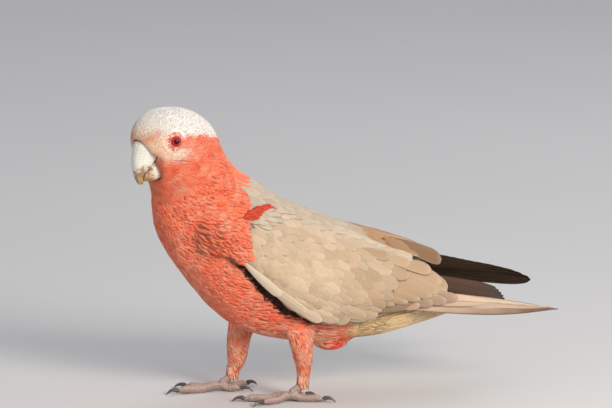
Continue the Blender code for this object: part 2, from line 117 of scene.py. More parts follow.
def ramp(value, low, high):
    """0 below low, 1 above high, and smooth between."""
    t = np.clip((np.asarray(value, float) - low) / (high - low), 0, 1)
    return t * t * (3 - 2 * t)


def bell(value, centre, width):
    """1 at the centre, and fading smoothly to 0 on both sides."""
    return np.exp(-(((np.asarray(value, float) - centre) / width) ** 2))


def wave_noise(places, size, seed):
    """Smooth noise from -1 to 1: sine waves of one size in many directions."""
    draw = np.random.default_rng(seed)
    total = np.zeros(len(places))
    for _ in range(14):
        way = draw.normal(size=3)
        way *= draw.uniform(0.7, 1.5) / np.linalg.norm(way) * math.tau / (size * MM)
        total += np.sin(places @ way + draw.uniform(0, math.tau))
    return np.clip(total / 4.6, -1, 1)


# ---------------------------------------------------------------- markings

WHITE = (0.90, 0.81, 0.755)
PEACH = (0.92, 0.58, 0.37)
CORAL = (0.90, 0.155, 0.070)
CORAL_PALE = (0.90, 0.30, 0.19)
CORAL_DEEP = (0.66, 0.045, 0.022)
MANTLE = (0.44, 0.37, 0.30)
MANTLE_WARM = (0.56, 0.47, 0.38)
WING_PALE = (0.52, 0.39, 0.262)
WING_SHADE = (0.36, 0.245, 0.15)
# Painted warm shade, used on the far (right) side only: its wing, back and tertials.
FAR_WING_SHADE_BROWN = (0.46, 0.28, 0.14)
FAR_BACK_SHADE_BROWN = (0.37, 0.21, 0.11)
FAR_TERTIAL_WARM_SHADE = (0.86, 0.45, 0.20)
FAR_TERTIAL_SHADE_BROWN = (0.56, 0.38, 0.22)
HAND_BROWN = (0.42, 0.29, 0.21)
VENT_TAN = (0.86, 0.58, 0.29)
RUMP = (0.50, 0.44, 0.38)
TAIL_DARK = (0.052, 0.025, 0.013)
TAIL_END = (0.045, 0.042, 0.042)
# The left primaries' own pale colour with painted sunlight on it.
PRIMARY_PALE_SUNLIT = (0.62, 0.45, 0.32)
PRIMARY_END = (0.20, 0.13, 0.095)
# Painted shade: the far wing's dark primaries and inner feathers, darkened further.
FAR_PRIMARY_DARK_SHADE = (0.020, 0.010, 0.005)
# Painted shadow for the hollow under the wing's lower front edge.
PAINTED_HOLLOW_SHADE = (0.022, 0.011, 0.009)
TAIL_BROWN = (0.10, 0.047, 0.022)
VENT_DEEP = (0.74, 0.50, 0.27)
THIGH_PALE = (0.86, 0.47, 0.32)
BILL_EDGE_RED = (0.72, 0.16, 0.09)
COVERT_WARM = (0.60, 0.50, 0.38)
EDGE_PALE = (0.66, 0.55, 0.42)
PRIMARY_BROWN = (0.48, 0.31, 0.20)
PRIMARY_END_PALE = (0.72, 0.56, 0.42)
# Painted shade on the far wing's primaries.
FAR_PRIMARY_SHADE_BROWN = (0.072, 0.036, 0.018)
FRINGE_PALE = (0.86, 0.52, 0.38)


# The folded wing's outline from the side: back, then up of its lower and of its upper edge.
WING_EDGE = np.array(
    (
        (-51, 117, 133),
        (-38, 105, 147),
        (-14, 80, 145),
        (12, 65, 135),
        (42, 66, 122),
        (70, 67, 110.5),
        (94, 70, 102),
        (111, 79, 88.5),
    ),
    float,
)


def wing_low(back):
    """The height of the folded wing's lower edge."""
    return np.interp(back, WING_EDGE[:, 0], WING_EDGE[:, 1])


def wing_high(back):
    """The height of the folded wing's upper edge."""
    return np.interp(back, WING_EDGE[:, 0], WING_EDGE[:, 2])


# Where pink gives way to grey on the side: how far back, and at what height.
PINK_FRONT = (
    (-52, -44, -39.5, -39.5, -41, -41, -40, -35.5, -31),
    (107, 113, 120.5, 130, 143, 148, 153, 162, 171),
)


def front_edge(up):
    """How far back the pink ends at a height."""
    return np.interp(up, PINK_FRONT[1], PINK_FRONT[0])


def under_wing(side, back, up):
    """1 in the hollow under the wing's lower front edge, which is in deep shade."""
    gap = wing_low(back) - up
    wide = 3.0 + 6.5 * bell(back, -22, 24)
    inside = ramp(gap, -9, -6) * (1 - ramp(gap - wide, -0.8, 0.8))
    return inside * ramp(back, -56, -48) * ramp(-back, -20, -8) * ramp(np.abs(side), 18, 24)


def mix(base, other, share):
    """The colour base with a share of the other one."""
    share = np.asarray(share, float)[..., None]
    return np.asarray(base) * (1 - share) + np.asarray(other) * share


def plumage(places):
    """The coat's colour at each place: pink below and round the neck, a white cap, grey above and behind."""
    places = np.array(places, float)
    _, back, up = upright(places).T
    left, forward, rise = head_places(places).T
    near = wave_noise(places, 9, 1)
    fine = wave_noise(places, 4.5, 2)
    broad = wave_noise(places, 26, 3)

    tint = mix(CORAL, CORAL_PALE, np.clip(0.42 + 0.34 * near + 0.2 * fine + 0.25 * broad, 0, 1))
    deep = ramp(wave_noise(places, 7, 4) + 0.35 * broad, 0.25, 0.8)
    tint = mix(tint, CORAL_DEEP, 0.42 * deep)

    # Grey above: the mantle begins at the neck's foot and the wing's front edge.
    grey_from = front_edge(up) + 0.8 * near + 0.8 * fine
    above = ramp(up, 92, 112)
    mantle = mix(MANTLE, WING_PALE, ramp(back, -30, 20) * 0.55)
    mantle = mix(mantle, RUMP, ramp(back, 25, 70))
    tint = mix(tint, mantle, ramp(back, grey_from - 1.0, grey_from + 3.5) * above)
    # Tan grey beneath, behind the vent.
    vent = ramp(back + 0.25 * (up - 40) + 5 * near, 22, 40) * (1 - above)
    tail_cover = mix(VENT_TAN, VENT_DEEP, ramp(back, 50, 80))
    tail_cover = mix(tail_cover, WING_PALE, np.clip(0.15 + 0.4 * near, 0, 1))
    tint = mix(tint, tail_cover, vent)
    tuft = bell(back, 24, 12) * ramp(-up, -50, -40)
    tint = mix(tint, CORAL_DEEP, 0.75 * tuft)

    # The thighs are mottled with pale feathers.
    low_leg = ramp(-places[:, 2] / MM, -66, -45)
    tint = mix(tint, THIGH_PALE, low_leg * (back < 20) * np.clip(0.45 + 0.5 * near, 0, 0.8))

    # The white cap comes down to the eye, runs before it to the bill and turns to peach below.
    head = ramp(forward, -42, -34) * ramp(rise, -22, -14)
    edge = 9.3 - 0.6 * ramp(-forward, 20, 40) + 0.8 * fine
    cap = ramp(rise, edge - 1.2, edge + 1.2)
    before_eye = ramp(forward, 8, 15)
    cap = np.maximum(cap, before_eye * ramp(rise, -3.0 + 0.8 * fine, 1.0))
    under_eye = bell(forward, 18, 9.5) * bell(rise, -1.4, 4.0) * 1.25
    cap = np.clip(np.maximum(cap, under_eye * ramp(np.abs(left), 4, 9)), 0, 1)
    pale = mix(WHITE, PEACH, np.clip(ramp(forward, 15, 30) * ramp(-rise, -21, -7) * (0.9 + 0.3 * near), 0, 1))
    pale = mix(pale, PEACH, 0.10 + 0.62 * np.clip(under_eye, 0, 1) * ramp(-rise, -5, 1))
    tint = mix(tint, pale, cap * head)
    # A red line of tiny feathers along the bill's edge.
    bill_edge = bell(rise - 7.4 - (33 - forward) * 0.75, 0, 2.4) * ramp(forward, 22, 27)
    tint = mix(tint, BILL_EDGE_RED, 0.55 * bill_edge * head)
    return np.clip(tint, 0.01, 0.95)


# ---------------------------------------------------------------- meshes


def new_object(name, mesh):
    made = bpy.data.objects.new(name, mesh)
    bpy.context.scene.collection.objects.link(made)
    return made


def smooth_mesh(bm, name):
    bmesh.ops.recalc_face_normals(bm, faces=bm.faces)
    mesh = bpy.data.meshes.new(name)
    bm.to_mesh(mesh)
    bm.free()
    mesh.shade_smooth()
    return mesh


def bridge(bm, rings, ends=True):
    """Joins each closed ring of vertices to the next one with faces, and closes the ends."""
    for near, far in zip(rings, rings[1:]):
        for i in range(len(near)):
            k = (i + 1) % len(near)
            bm.faces.new((near[i], near[k], far[k], far[i]))
    if ends:
        bm.faces.new(rings[0])
        bm.faces.new(rings[-1][::-1])


def paint(item, look):
    """Gives an object one material alone."""
    item.data.materials.clear()
    item.data.materials.append(look)


def joined_copy(name, nodes):
    """The solids of nodes as one loose object, each with its own vertices merged."""
    whole = bmesh.new()
    for node in nodes:
        bm = bmesh.new()
        bm.from_mesh(NODES[node].data)
        bmesh.ops.remove_doubles(bm, verts=bm.verts, dist=0.002 * MM)
        mesh = bpy.data.meshes.new(node + " copy")
        bm.to_mesh(mesh)
        bm.free()
        whole.from_mesh(mesh)
        bpy.data.meshes.remove(mesh)
    return new_object(name, smooth_mesh(whole, name))


def evaluated(item):
    """Replaces an object's mesh by its evaluated shape, its modifiers gone."""
    bpy.context.view_layer.update()
    graph = bpy.context.evaluated_depsgraph_get()
    mesh = bpy.data.meshes.new_from_object(item.evaluated_get(graph))
    item.modifiers.clear()
    item.data = mesh
    return item


def remeshed(name, nodes, voxel, swell=0.4, rounds=6):
    """One closed, even skin over the nodes, smoothed, with the gaps between them gone."""
    made = joined_copy(name, nodes)
    grow = made.modifiers.new("grow", "DISPLACE")
    grow.strength, grow.mid_level = swell * MM, 0
    skin = made.modifiers.new("remesh", "REMESH")
    skin.mode, skin.voxel_size, skin.use_smooth_shade = "VOXEL", voxel * MM, True
    calm = made.modifiers.new("calm", "SMOOTH")
    calm.factor, calm.iterations = 0.5, rounds
    shrink = made.modifiers.new("shrink", "DISPLACE")
    shrink.strength, shrink.mid_level = -swell * MM, 0
    return evaluated(made)


def triples(items, field):
    """A field of three numbers, read from every item."""
    out = np.zeros(len(items) * 3)
    items.foreach_get(field, out)
    return out.reshape(-1, 3)


def vertices(mesh):
    return triples(mesh.vertices, "co")


def vertex_normals(mesh):
    return triples(mesh.vertex_normals, "vector")


def move_vertices(mesh, places):
    mesh.vertices.foreach_set("co", np.asarray(places, np.float32).ravel())
    mesh.update()


def unit(ways):
    return ways / np.maximum(np.linalg.norm(ways, axis=-1, keepdims=True), 1e-9)


def put(mesh, name, values, kind="FLOAT"):
    """Stores one value for each vertex as a named attribute."""
    values = np.asarray(values, np.float32)
    layer = mesh.attributes.new(name, kind, "POINT")
    field = {"FLOAT": "value", "INT": "value", "FLOAT_VECTOR": "vector", "FLOAT_COLOR": "color"}[kind]
    if kind == "FLOAT_COLOR":
        values = np.column_stack([values, np.ones(len(values))])
    if kind == "INT":
        values = values.astype(np.int32)
    layer.data.foreach_set(field, np.ascontiguousarray(values).ravel())


def put_unwrap(mesh, spots):
    """Stores where each root's feather lies in the unwrap."""
    put(mesh, "unwrap", np.column_stack([spots, np.zeros(len(spots))]), "FLOAT_VECTOR")


def mesh_tree(mesh):
    """A mesh's faces, ready to be searched for the nearest one or for a ray's hit."""
    return BVHTree.FromPolygons([v.co for v in mesh.vertices], [p.vertices for p in mesh.polygons])


# ---------------------------------------------------------------- feather shapes and trees


def vane_mesh(name, outline, columns, thick, ridge=0.0, camber=0.0):
    """A closed flat vane, 1 long along Y and 1 half wide: outline gives (share of length, half width).

    Its attribute form holds each vertex's place across (-1 to 1), along (0 to 1) and its height, which the
    feather trees use to lay it on the body.
    """
    bm = bmesh.new()
    rows, forms = [], []
    across = np.linspace(-1, 1, columns + 1)
    for along, half in outline:
        end = math.sin(math.pi * min(max(along, 0.04), 0.97)) ** 0.5
        ring = []
        for x in across:
            top = thick * end * (1 - x * x) ** 0.5 + ridge * math.exp(-((x / 0.10) ** 2)) * (1 - 0.7 * along)
            ring.append((x * half, along, top + camber * (1 - x * x), x))
        under = across[1:-1][::-1] if columns > 2 else (0.0,)
        for x in under:
            low = -thick * end * 0.5 * (1 - x * x) ** 0.5
            ring.append((x * half, along, low + camber * (1 - x * x), x))
        row = []
        for x, y, z, share in ring:
            row.append(bm.verts.new((x, y, z)))
            forms.append((share, y, z))
        rows.append(row)
    bridge(bm, rows)
    mesh = smooth_mesh(bm, name)
    put(mesh, "form", forms, "FLOAT_VECTOR")
    made = new_object(name, mesh)
    made.hide_render = True
    return made


def rounded(widest, count, blunt=0.5, root=0.3):
    """A vane outline: narrow at the root, widest at widest, with a round tip."""
    out = []
    for t in np.linspace(0, 1, count):
        t = 1 - (1 - t) ** 1.25
        if t < widest:
            half = root + (1 - root) * math.sin(math.pi / 2 * t / widest)
        else:
            half = max(1 - ((t - widest) / (1 - widest)) ** (1 / blunt * 1.25), 0.0) ** blunt
        out.append((t, max(half, 0.05)))
    return out


def pointed(widest, count):
    """A long feather's outline: narrow at the root, widest at widest, then running to a point."""
    out, root = [], 0.12
    for t in np.linspace(0, 1, count):
        if t < widest:
            half = root + (1 - root) * math.sin(math.pi / 2 * t / widest)
        else:
            half = math.cos(math.pi / 2 * ((t - widest) / (1 - widest)) ** 1.1)
        out.append((t, max(half, 0.04)))
    return out


class NodeCalls:
    """A node tree that is written as calls: each adds a node. _0 is an input by number, others go by name."""

    def __init__(self, group):
        self.group = group

    def add(self, kind, settings=None, **links):
        """Adds a node with these settings, and joins each of links to the input of that name or number."""
        node = self.group.nodes.new(kind)
        for key, value in (settings or {}).items():
            setattr(node, key, value)
        for key, value in links.items():
            socket = node.inputs[int(key[1:])] if key[0] == "_" else node.inputs[key.replace("_", " ")]
            self.join(value, socket)
        return node

    def join(self, value, socket):
        """Links an output to a socket, or sets the socket to a plain value."""
        if isinstance(value, bpy.types.NodeSocket):
            self.group.links.new(value, socket)
        else:
            socket.default_value = value

    def maths(self, operation, first, second=0.0, third=None):
        node = self.add("ShaderNodeMath", {"operation": operation}, _0=first, _1=second)
        if third is not None:
            self.join(third, node.inputs[2])
        return node.outputs[0]


class Tree(NodeCalls):
    """A geometry node tree with named inputs, which takes and gives a mesh."""

    def __init__(self, name, inputs):
        super().__init__(bpy.data.node_groups.new(name, "GeometryNodeTree"))
        face = self.group.interface
        face.new_socket("Geometry", in_out="INPUT", socket_type="NodeSocketGeometry")
        face.new_socket("Geometry", in_out="OUTPUT", socket_type="NodeSocketGeometry")
        for label, kind in inputs.items():
            face.new_socket(label, in_out="INPUT", socket_type="NodeSocket" + kind)
        self.input = self.group.nodes.new("NodeGroupInput")
        self.output = self.group.nodes.new("NodeGroupOutput")

    def ask(self, label):
        """One of the tree's own inputs."""
        return self.input.outputs[label]

    def attribute(self, name, kind="FLOAT"):
        node = self.add("GeometryNodeInputNamedAttribute", {"data_type": kind}, Name=name)
        return node.outputs["Attribute"]

    def way(self, name):
        return self.attribute(name, "FLOAT_VECTOR")

    def nearest(self, body, value, place):
        """A value of the body's surface where it is nearest to a place."""
        settings = {"data_type": "FLOAT_VECTOR"}
        kind = "GeometryNodeSampleNearestSurface"
        return self.add(kind, settings, Mesh=body, Value=value, Sample_Position=place).outputs[0]

    def store(self, kind, domain, geometry, name, value):
        """The geometry with one more named attribute."""
        settings = {"data_type": kind, "domain": domain}
        kind = "GeometryNodeStoreNamedAttribute"
        return self.add(kind, settings, Geometry=geometry, Name=name, Value=value).outputs[0]

    def vector(self, operation, first, second=None, scale=None):
        node = self.add("ShaderNodeVectorMath", {"operation": operation}, _0=first)
        if second is not None:
            self.join(second, node.inputs[1])
        if scale is not None:
            self.join(scale, node.inputs["Scale"])
        return node.outputs[0]

    def random(self, low, high, seed):
        node = self.add("FunctionNodeRandomValue", {"data_type": "FLOAT"}, _2=low, _3=high, Seed=seed)
        return node.outputs[1]


FEATHER_INPUTS = {
    "Vane": "Object",
    "Tract": "Int",
    "Spacing": "Float",
    "Seed": "Int",
    "Turn": "Float",
    "Uneven": "Float",
    "Hug": "Float",
    "Patch": "Float",
    "Material": "Material",
}


def feather_tree(name, scatter):
    """Lays vanes on a body: on points scattered over its skin, or on the vertices of a mesh of roots.

    Each root's attributes say which way the feather lies (lie) and which way is out (out), how long and wide
    it is (reach, breadth) and how far its tip rises. A vane is wrapped over the body, or stays flat where hug
    is 0.
    """
    tree = Tree(name, FEATHER_INPUTS)
    ask, maths, vector = tree.ask, tree.maths, tree.vector
    skin = ask("Geometry")
    if scatter:
        same = tree.add(
            "FunctionNodeCompare",
            {"data_type": "INT", "operation": "EQUAL"},
            _2=tree.attribute("tract", "INT"),
            _3=ask("Tract"),
        )
        dense = maths("DIVIDE", 1.6, maths("MULTIPLY", ask("Spacing"), ask("Spacing")))
        spread = tree.add(
            "GeometryNodeDistributePointsOnFaces",
            {"distribute_method": "POISSON", "use_legacy_normal": False},
            Mesh=skin,
            Selection=same.outputs[0],
            Distance_Min=ask("Spacing"),
            Density_Max=dense,
            Density_Factor=tree.attribute("thick_coat"),
            Seed=ask("Seed"),
        )
        roots = spread.outputs["Points"]
        body = skin
    else:
        roots = tree.add("GeometryNodeMeshToPoints", Mesh=skin).outputs[0]
        body = tree.add("GeometryNodeObjectInfo", {"transform_space": "RELATIVE"}, Object=None)
        tree.body_info = body
        body = body.outputs["Geometry"]
    facing = tree.add(
        "FunctionNodeAxesToRotation",
        {"primary_axis": "Z", "secondary_axis": "Y"},
        Primary_Axis=tree.way("out"),
        Secondary_Axis=tree.way("lie"),
    )
    swing = tree.random(maths("MULTIPLY", ask("Turn"), -1.0), ask("Turn"), 11)
    twist = tree.add("FunctionNodeAxisAngleToRotation", Axis=(0, 0, 1), Angle=swing)
    facing = tree.add(
        "FunctionNodeRotateRotation",
        {"rotation_space": "LOCAL"},
        Rotation=facing.outputs[0],
        Rotate_By=twist.outputs[0],
    )
    shorter = maths("SUBTRACT", 1.0, ask("Uneven"))
    longer = maths("ADD", 1.0, ask("Uneven"))
    reach = maths("MULTIPLY", tree.attribute("reach"), tree.random(shorter, longer, 12))
    width = maths("MULTIPLY", tree.attribute("breadth"), tree.random(shorter, longer, 13))
    size = tree.add("ShaderNodeCombineXYZ", X=maths("MULTIPLY", width, 0.5), Y=reach, Z=reach)
    vane = tree.add("GeometryNodeObjectInfo", {"transform_space": "ORIGINAL"}, Object=ask("Vane"))
    placed = tree.add(
        "GeometryNodeInstanceOnPoints",
        Points=roots,
        Instance=vane.outputs["Geometry"],
        Rotation=facing.outputs[0],
        Scale=size.outputs[0],
    )
    chance = tree.store("FLOAT", "INSTANCE", placed.outputs[0], "chance", tree.random(0.0, 1.0, 14))
    coat = tree.add("GeometryNodeRealizeInstances", Geometry=chance).outputs[0]

    at = tree.add("GeometryNodeInputPosition").outputs[0]
    form = tree.add("ShaderNodeSeparateXYZ", Vector=tree.way("form"))
    spot = tree.nearest(body, at, at)
    outward = tree.nearest(body, tree.way("out"), at)
    height = maths("MULTIPLY", tree.attribute("rise"), form.outputs["Y"])
    height = maths("ADD", height, tree.attribute("base"))
    height = maths("MULTIPLY_ADD", form.outputs["Z"], tree.attribute("reach"), height)
    lifted = vector("SCALE", vector("NORMALIZE", outward), scale=height)
    wrapped = vector("ADD", spot, lifted)
    bend = maths("MULTIPLY", tree.attribute("bow"), maths("MULTIPLY", form.outputs["Y"], form.outputs["Y"]))
    off = maths("SUBTRACT", tree.attribute("base"), bend)
    free = vector("ADD", at, vector("SCALE", tree.way("out"), scale=off))
    blend = tree.add(
        "ShaderNodeMix",
        {"data_type": "VECTOR"},
        Factor=maths("MULTIPLY", ask("Hug"), tree.attribute("hug")),
    )
    tree.join(free, blend.inputs[4])
    tree.join(wrapped, blend.inputs[5])
    coat = tree.add("GeometryNodeSetPosition", Geometry=coat, Position=blend.outputs[1]).outputs[0]

    flat = tree.add("ShaderNodeCombineXYZ", X=maths("MULTIPLY", form.outputs["X"], 0.5), Y=form.outputs["Y"])
    patch = vector("SCALE", flat.outputs[0], scale=ask("Patch"))
    where = vector("ADD", tree.way("unwrap"), patch)
    coat = tree.store("FLOAT2", "CORNER", coat, "OFBake", where)
    coat = tree.add("GeometryNodeSetMaterial", Geometry=coat, Material=ask("Material")).outputs[0]
    tree.join(coat, tree.output.inputs[0])
    return tree


KEPT_ATTRIBUTES = {"tint", "tip_tint", "form", "chance", "OFBake"}


def feather_settings(vane, look, seed, turn=0.0, uneven=0.0):
    """A feather tree's inputs: Patch is how much of the unwrap one feather takes."""
    return {
        "Vane": vane,
        "Seed": seed,
        "Turn": turn,
        "Uneven": uneven,
        "Hug": 1.0,
        "Patch": 0.003,
        "Material": look,
    }


def grown_feathers(name, source, tree, settings, body=None):
    """Runs a feather tree on a copy of source and returns the feathers as one plain mesh object."""
    made = new_object(name, source.data)
    change = made.modifiers.new("feathers", "NODES")
    change.node_group = tree.group
    if body is not None:
        tree.body_info.inputs["Object"].default_value = body
    for item in tree.group.interface.items_tree:
        if item.in_out == "INPUT" and item.name in settings:
            change[item.identifier] = settings[item.name]
    evaluated(made)
    layers = made.data.attributes
    spare = [layer.name for layer in layers if not (layer.is_internal or layer.is_required)]
    for label in set(spare) - KEPT_ATTRIBUTES:
        layers.remove(layers[label])
    made.data.shade_smooth()
    paint(made, settings["Material"])
    return made


# ---------------------------------------------------------------- materials


class Finish(NodeCalls):
    """A material whose constants are set on the shader's own sockets."""

    def __init__(self, name, roughness, **sockets):
        self.material = bpy.data.materials.new(name)
        self.material.use_nodes = True
        super().__init__(self.material.node_tree)
        self.shader = self.group.nodes["Principled BSDF"]
        for key, value in {"Roughness": roughness, **sockets}.items():
            self.shader.inputs[key.replace("_", " ")].default_value = value

    def attribute(self, name):
        return self.add("ShaderNodeAttribute", {"attribute_name": name})

    def place(self):
        return self.add("ShaderNodeTexCoord").outputs["Object"]

    def noise(self, scale, detail=3.0):
        node = self.add("ShaderNodeTexNoise", Scale=scale, Detail=detail, Roughness=0.55)
        self.join(self.place(), node.inputs["Vector"])
        return node.outputs[0]

    def span(self, value, low, high, to_low=0.0, to_high=1.0):
        """value from low to high as a number from to_low to to_high, held at both ends."""
        node = self.add("ShaderNodeMapRange", Value=value)
        for key, number in (("From Min", low), ("From Max", high), ("To Min", to_low), ("To Max", to_high)):
            node.inputs[key].default_value = number
        return node.outputs[0]

    def blend(self, share, first, second, kind="MIX"):
        node = self.add("ShaderNodeMix", {"data_type": "RGBA", "blend_type": kind})
        self.join(share, node.inputs[0])
        for value, socket in ((first, node.inputs[6]), (second, node.inputs[7])):
            self.join((*value, 1) if isinstance(value, tuple) else value, socket)
        return node.outputs[2]

    def times(self, first, second):
        """Two colours multiplied."""
        return self.blend(1.0, first, second, "MULTIPLY")

    def colour(self, value):
        self.join(value, self.shader.inputs["Base Color"])

    def bump(self, height, depth):
        """Relief as deep as this many millimetres."""
        node = self.add("ShaderNodeBump", Height=height, Distance=depth * MM, Strength=1.0)
        self.join(node.outputs[0], self.shader.inputs["Normal"])


def vane_places(made, slant):
    """Places on a vane: off its shaft, along it, and along it where the barbs run that slant back."""
    form = made.add("ShaderNodeSeparateXYZ", Vector=made.attribute("form").outputs["Vector"])
    off, along = made.maths("ABSOLUTE", form.outputs["X"]), form.outputs["Y"]
    return off, along, made.maths("SUBTRACT", along, made.maths("MULTIPLY", off, slant))


def feather_finish(name, barbs, bump, shaft=0.0, fringe=0.0):
    """A feather in the marks' colour, with fine barbs that slant off the shaft and a soft pale edge."""
    made = Finish(
        name,
        0.75,
        Sheen_Weight=0.06,
        Sheen_Roughness=0.4,
        Specular_IOR_Level=0.15,
        Subsurface_Weight=0.5,
        Subsurface_Radius=(0.0028, 0.0015, 0.001),
    )
    off, along, slant = vane_places(made, 0.22)
    chance = made.attribute("chance").outputs["Fac"]
    wander = made.maths("MULTIPLY", made.noise(420.0, 2.0), 0.05)
    lines = made.maths("MULTIPLY", made.maths("ADD", slant, wander), barbs)
    lines = made.maths("SINE", made.maths("ADD", lines, made.maths("MULTIPLY", chance, 40.0)))
    tint = made.attribute("tint").outputs["Color"]
    shade = made.span(chance, 0.0, 1.0, 0.90, 1.10)
    grey = made.add("ShaderNodeCombineColor", Red=shade, Green=shade, Blue=shade).outputs[0]
    colour = made.times(tint, grey)
    dark = made.times(colour, (0.66, 0.62, 0.62))
    colour = made.blend(made.span(lines, -1.0, 1.0, 0.0, 0.28), colour, dark)
    # Painted shade: each feather grows darker towards its root, where the feathers over it shade it.
    root = made.span(along, 0.0, 0.45, 0.2, 0.0)
    colour = made.blend(root, colour, dark)
    if fringe:
        rim = made.maths("MAXIMUM", made.span(off, 0.72, 0.95), made.span(along, 0.90, 0.99))
        light = made.blend(0.5, colour, (0.93, 0.87, 0.80))
        colour = made.blend(made.maths("MULTIPLY", rim, fringe), colour, light)
    if shaft:
        line = made.span(off, 0.0, 0.07, shaft, 0.0)
        colour = made.blend(line, colour, (0.20, 0.13, 0.09))
    made.colour(colour)
    made.bump(lines, bump)
    return made.material


def skin_finish():
    """The skin under the feathers, in the coat's own colours, matt and slightly darker."""
    made = Finish("feather_base", 0.9)
    tint = made.attribute("tint").outputs["Color"]
    dark = made.times(tint, (0.55, 0.52, 0.52))
    made.colour(made.blend(made.noise(600.0, 4.0), tint, dark))
    made.bump(made.noise(900.0, 3.0), 0.15)
    return made.material


# ---------------------------------------------------------------- skin

TRACTS = ("head", "neck", "breast", "belly", "back", "rump", "undertail", "thigh_left", "thigh_right", "face")
SKIN_VOXEL = 1.25


def nearest_nodes(places, nodes):
    """For each place the index of the nearest node."""
    trees = [mesh_tree(NODES[node].data) for node in nodes]
    away = np.array([[tree.find_nearest(Vector(place))[3] for tree in trees] for place in places])
    return away.argmin(axis=1)


def coat_lie(places, normals, leg):
    """The way the coat lies: out from the bill over the head, then towards the tail, and down the legs."""
    tail_root = lean([(0, 150, 66)])[0]
    bill_root = np.array(on_head(0, 24, -3))
    from_bill = unit(places - bill_root)
    to_tail = unit(tail_root - places)
    _, forward, rise = head_places(places).T
    on_face = ramp(forward, -30, 0)[:, None] * ramp(rise, -34, -14)[:, None]
    way = to_tail * (1 - on_face) + from_bill * on_face
    down = np.array([0, 0.25, -1.0])
    way = way * (1 - leg[:, None]) + down * leg[:, None]
    way -= normals * (way * normals).sum(axis=1, keepdims=True)
    return unit(way)


def body_unwrap(places):
    """An unwrap of the skin: round the body against its length, from 0 to 1 each way."""
    side, back, up = upright(places).T
    centre = 100 - 0.42 * (back + 10)
    centre = np.where(back < -40, 112 + 0.75 * (-40 - back) + 6, centre)
    round_body = np.arctan2(side, up - centre) / math.tau + 0.5
    length = (back + 130) / 285
    return np.stack([0.02 + 0.96 * round_body, 0.02 + 0.96 * np.clip(length, 0, 1)], -1)


def tract_of(part, side, back, up, forward):
    """The number of the feather tract that each place of the skin belongs to."""
    is_head, is_neck, is_trunk = part == 0, part == 1, part == 2
    rump_edge = 80 - 0.2 * (back - 20)
    marks = {
        "head": is_head,
        "face": is_head & (forward > 2),
        "neck": is_neck,
        "belly": is_trunk & (back > -55) & (up < 100),
        "back": is_trunk & (up > 105 + 0.2 * np.abs(side)) & (back > -50),
        "rump": is_trunk & (back > 20) & (up > rump_edge),
        "undertail": is_trunk & (back > 20) & (up <= rump_edge),
        "thigh_left": part == 3,
        "thigh_right": part == 4,
    }
    tract = np.full(len(part), TRACTS.index("breast"))
    for name, where in marks.items():
        tract[where] = TRACTS.index(name)
    return tract


def make_skin():
    """One skin over all the flesh, sunk by the coat's depth, with all that its feathers take from it."""
    skin = remeshed("skin", FLESH, SKIN_VOXEL, swell=0.5, rounds=8)
    mesh = skin.data
    places, normals = vertices(mesh), vertex_normals(mesh)
    part = nearest_nodes(places, FLESH)
    forward = head_places(places)[:, 1]
    side, back, up = upright(places).T
    is_head, is_trunk, is_leg = part == 0, part == 2, part >= 3
    by_part = (is_head, part == 1, is_trunk, is_leg)
    face = ramp(forward, 6, 24) * is_head
    leg = is_leg * ramp(-places[:, 2] / MM, -62, -46)

    depth = np.select(by_part, (1.0 - 0.55 * face, 1.5, 1.9, 1.3 + 0.2 * leg))
    depth = depth + 2.2 * under_wing(side, back, up)
    nape_foot = 2.4 * bell(back, -42, 7) * ramp(up, 146, 156) * ramp(-np.abs(side), -20, -12)
    depth = smoothed_on(mesh, depth + nape_foot * ~is_head, 2)
    places = places - normals * depth[:, None] * MM
    move_vertices(mesh, places)
    normals = vertex_normals(mesh)

    trunk_reach = 11.5 + 3.5 * ramp(back, -60, 20)
    leg_reach = 7.5 - 2.5 * ramp(-places[:, 2] / MM, -40, -15)
    reach = smoothed_on(mesh, np.select(by_part, (6.4 - 3.6 * face, 7.6, trunk_reach, leg_reach)), 3)
    breadth = smoothed_on(mesh, np.select(by_part, (1.9 - 0.7 * face, 3.4, 4.0, 2.2)), 3)
    rise_by = 0.30 + 0.03 * reach + 0.1 * wave_noise(places, 12, 7)
    rise_by = np.where(is_head, 0.3 - 0.1 * face, rise_by)
    bald = np.zeros(len(places))
    for eye in (EYE_LEFT, EYE_RIGHT):
        away = np.linalg.norm(places - np.array(eye), axis=1) / MM
        bald = np.maximum(bald, 1 - ramp(away, 6.4, 7.2))

    lie = coat_lie(places, normals, leg)
    # The tail's lower coverts are long and full.
    full = smoothed_on(mesh, is_trunk * ramp(back, 34, 70) * ramp(-normals[:, 2], 0.0, 0.6))
    reach = reach + 7.0 * full
    base = -0.1 + 3.0 * full
    # What counts is where each feather's tip lies: that is the part that shows.
    tint = plumage(places)
    shade = np.zeros(len(places))
    for share in (0.5, 0.7, 0.9):
        shade = np.maximum(shade, under_wing(*upright(places + lie * (reach * share * MM)[:, None]).T))
    # Painted shadow: the coat whose feather tips lie in the hollow under the wing's lower front edge is
    # painted near black.
    tint = mix(tint, PAINTED_HOLLOW_SHADE, 0.96 * shade)
    put(mesh, "out", normals, "FLOAT_VECTOR")
    put(mesh, "lie", lie, "FLOAT_VECTOR")
    put(mesh, "tract", tract_of(part, side, back, up, forward), "INT")
    for label, values in (("reach", reach), ("breadth", breadth), ("rise", rise_by), ("base", base)):
        put(mesh, label, values * MM)
    put(mesh, "hug", np.ones(len(places)))
    put(mesh, "thick_coat", np.clip(1 - bald, 0, 1))
    put(mesh, "tint", tint, "FLOAT_COLOR")
    put_unwrap(mesh, body_unwrap(places))
    return skin


def smoothed_on(mesh, values, rounds=1):
    """Values averaged along the mesh's edges."""
    edges = np.zeros(len(mesh.edges) * 2, np.int64)
    mesh.edges.foreach_get("vertices", edges)
    near, far = edges.reshape(-1, 2).T
    size = len(values)
    count = np.bincount(near, minlength=size) + np.bincount(far, minlength=size)
    for _ in range(rounds):
        total = np.bincount(near, values[far], size) + np.bincount(far, values[near], size)
        values = 0.35 * values + 0.65 * total / np.maximum(count, 1)
    return values


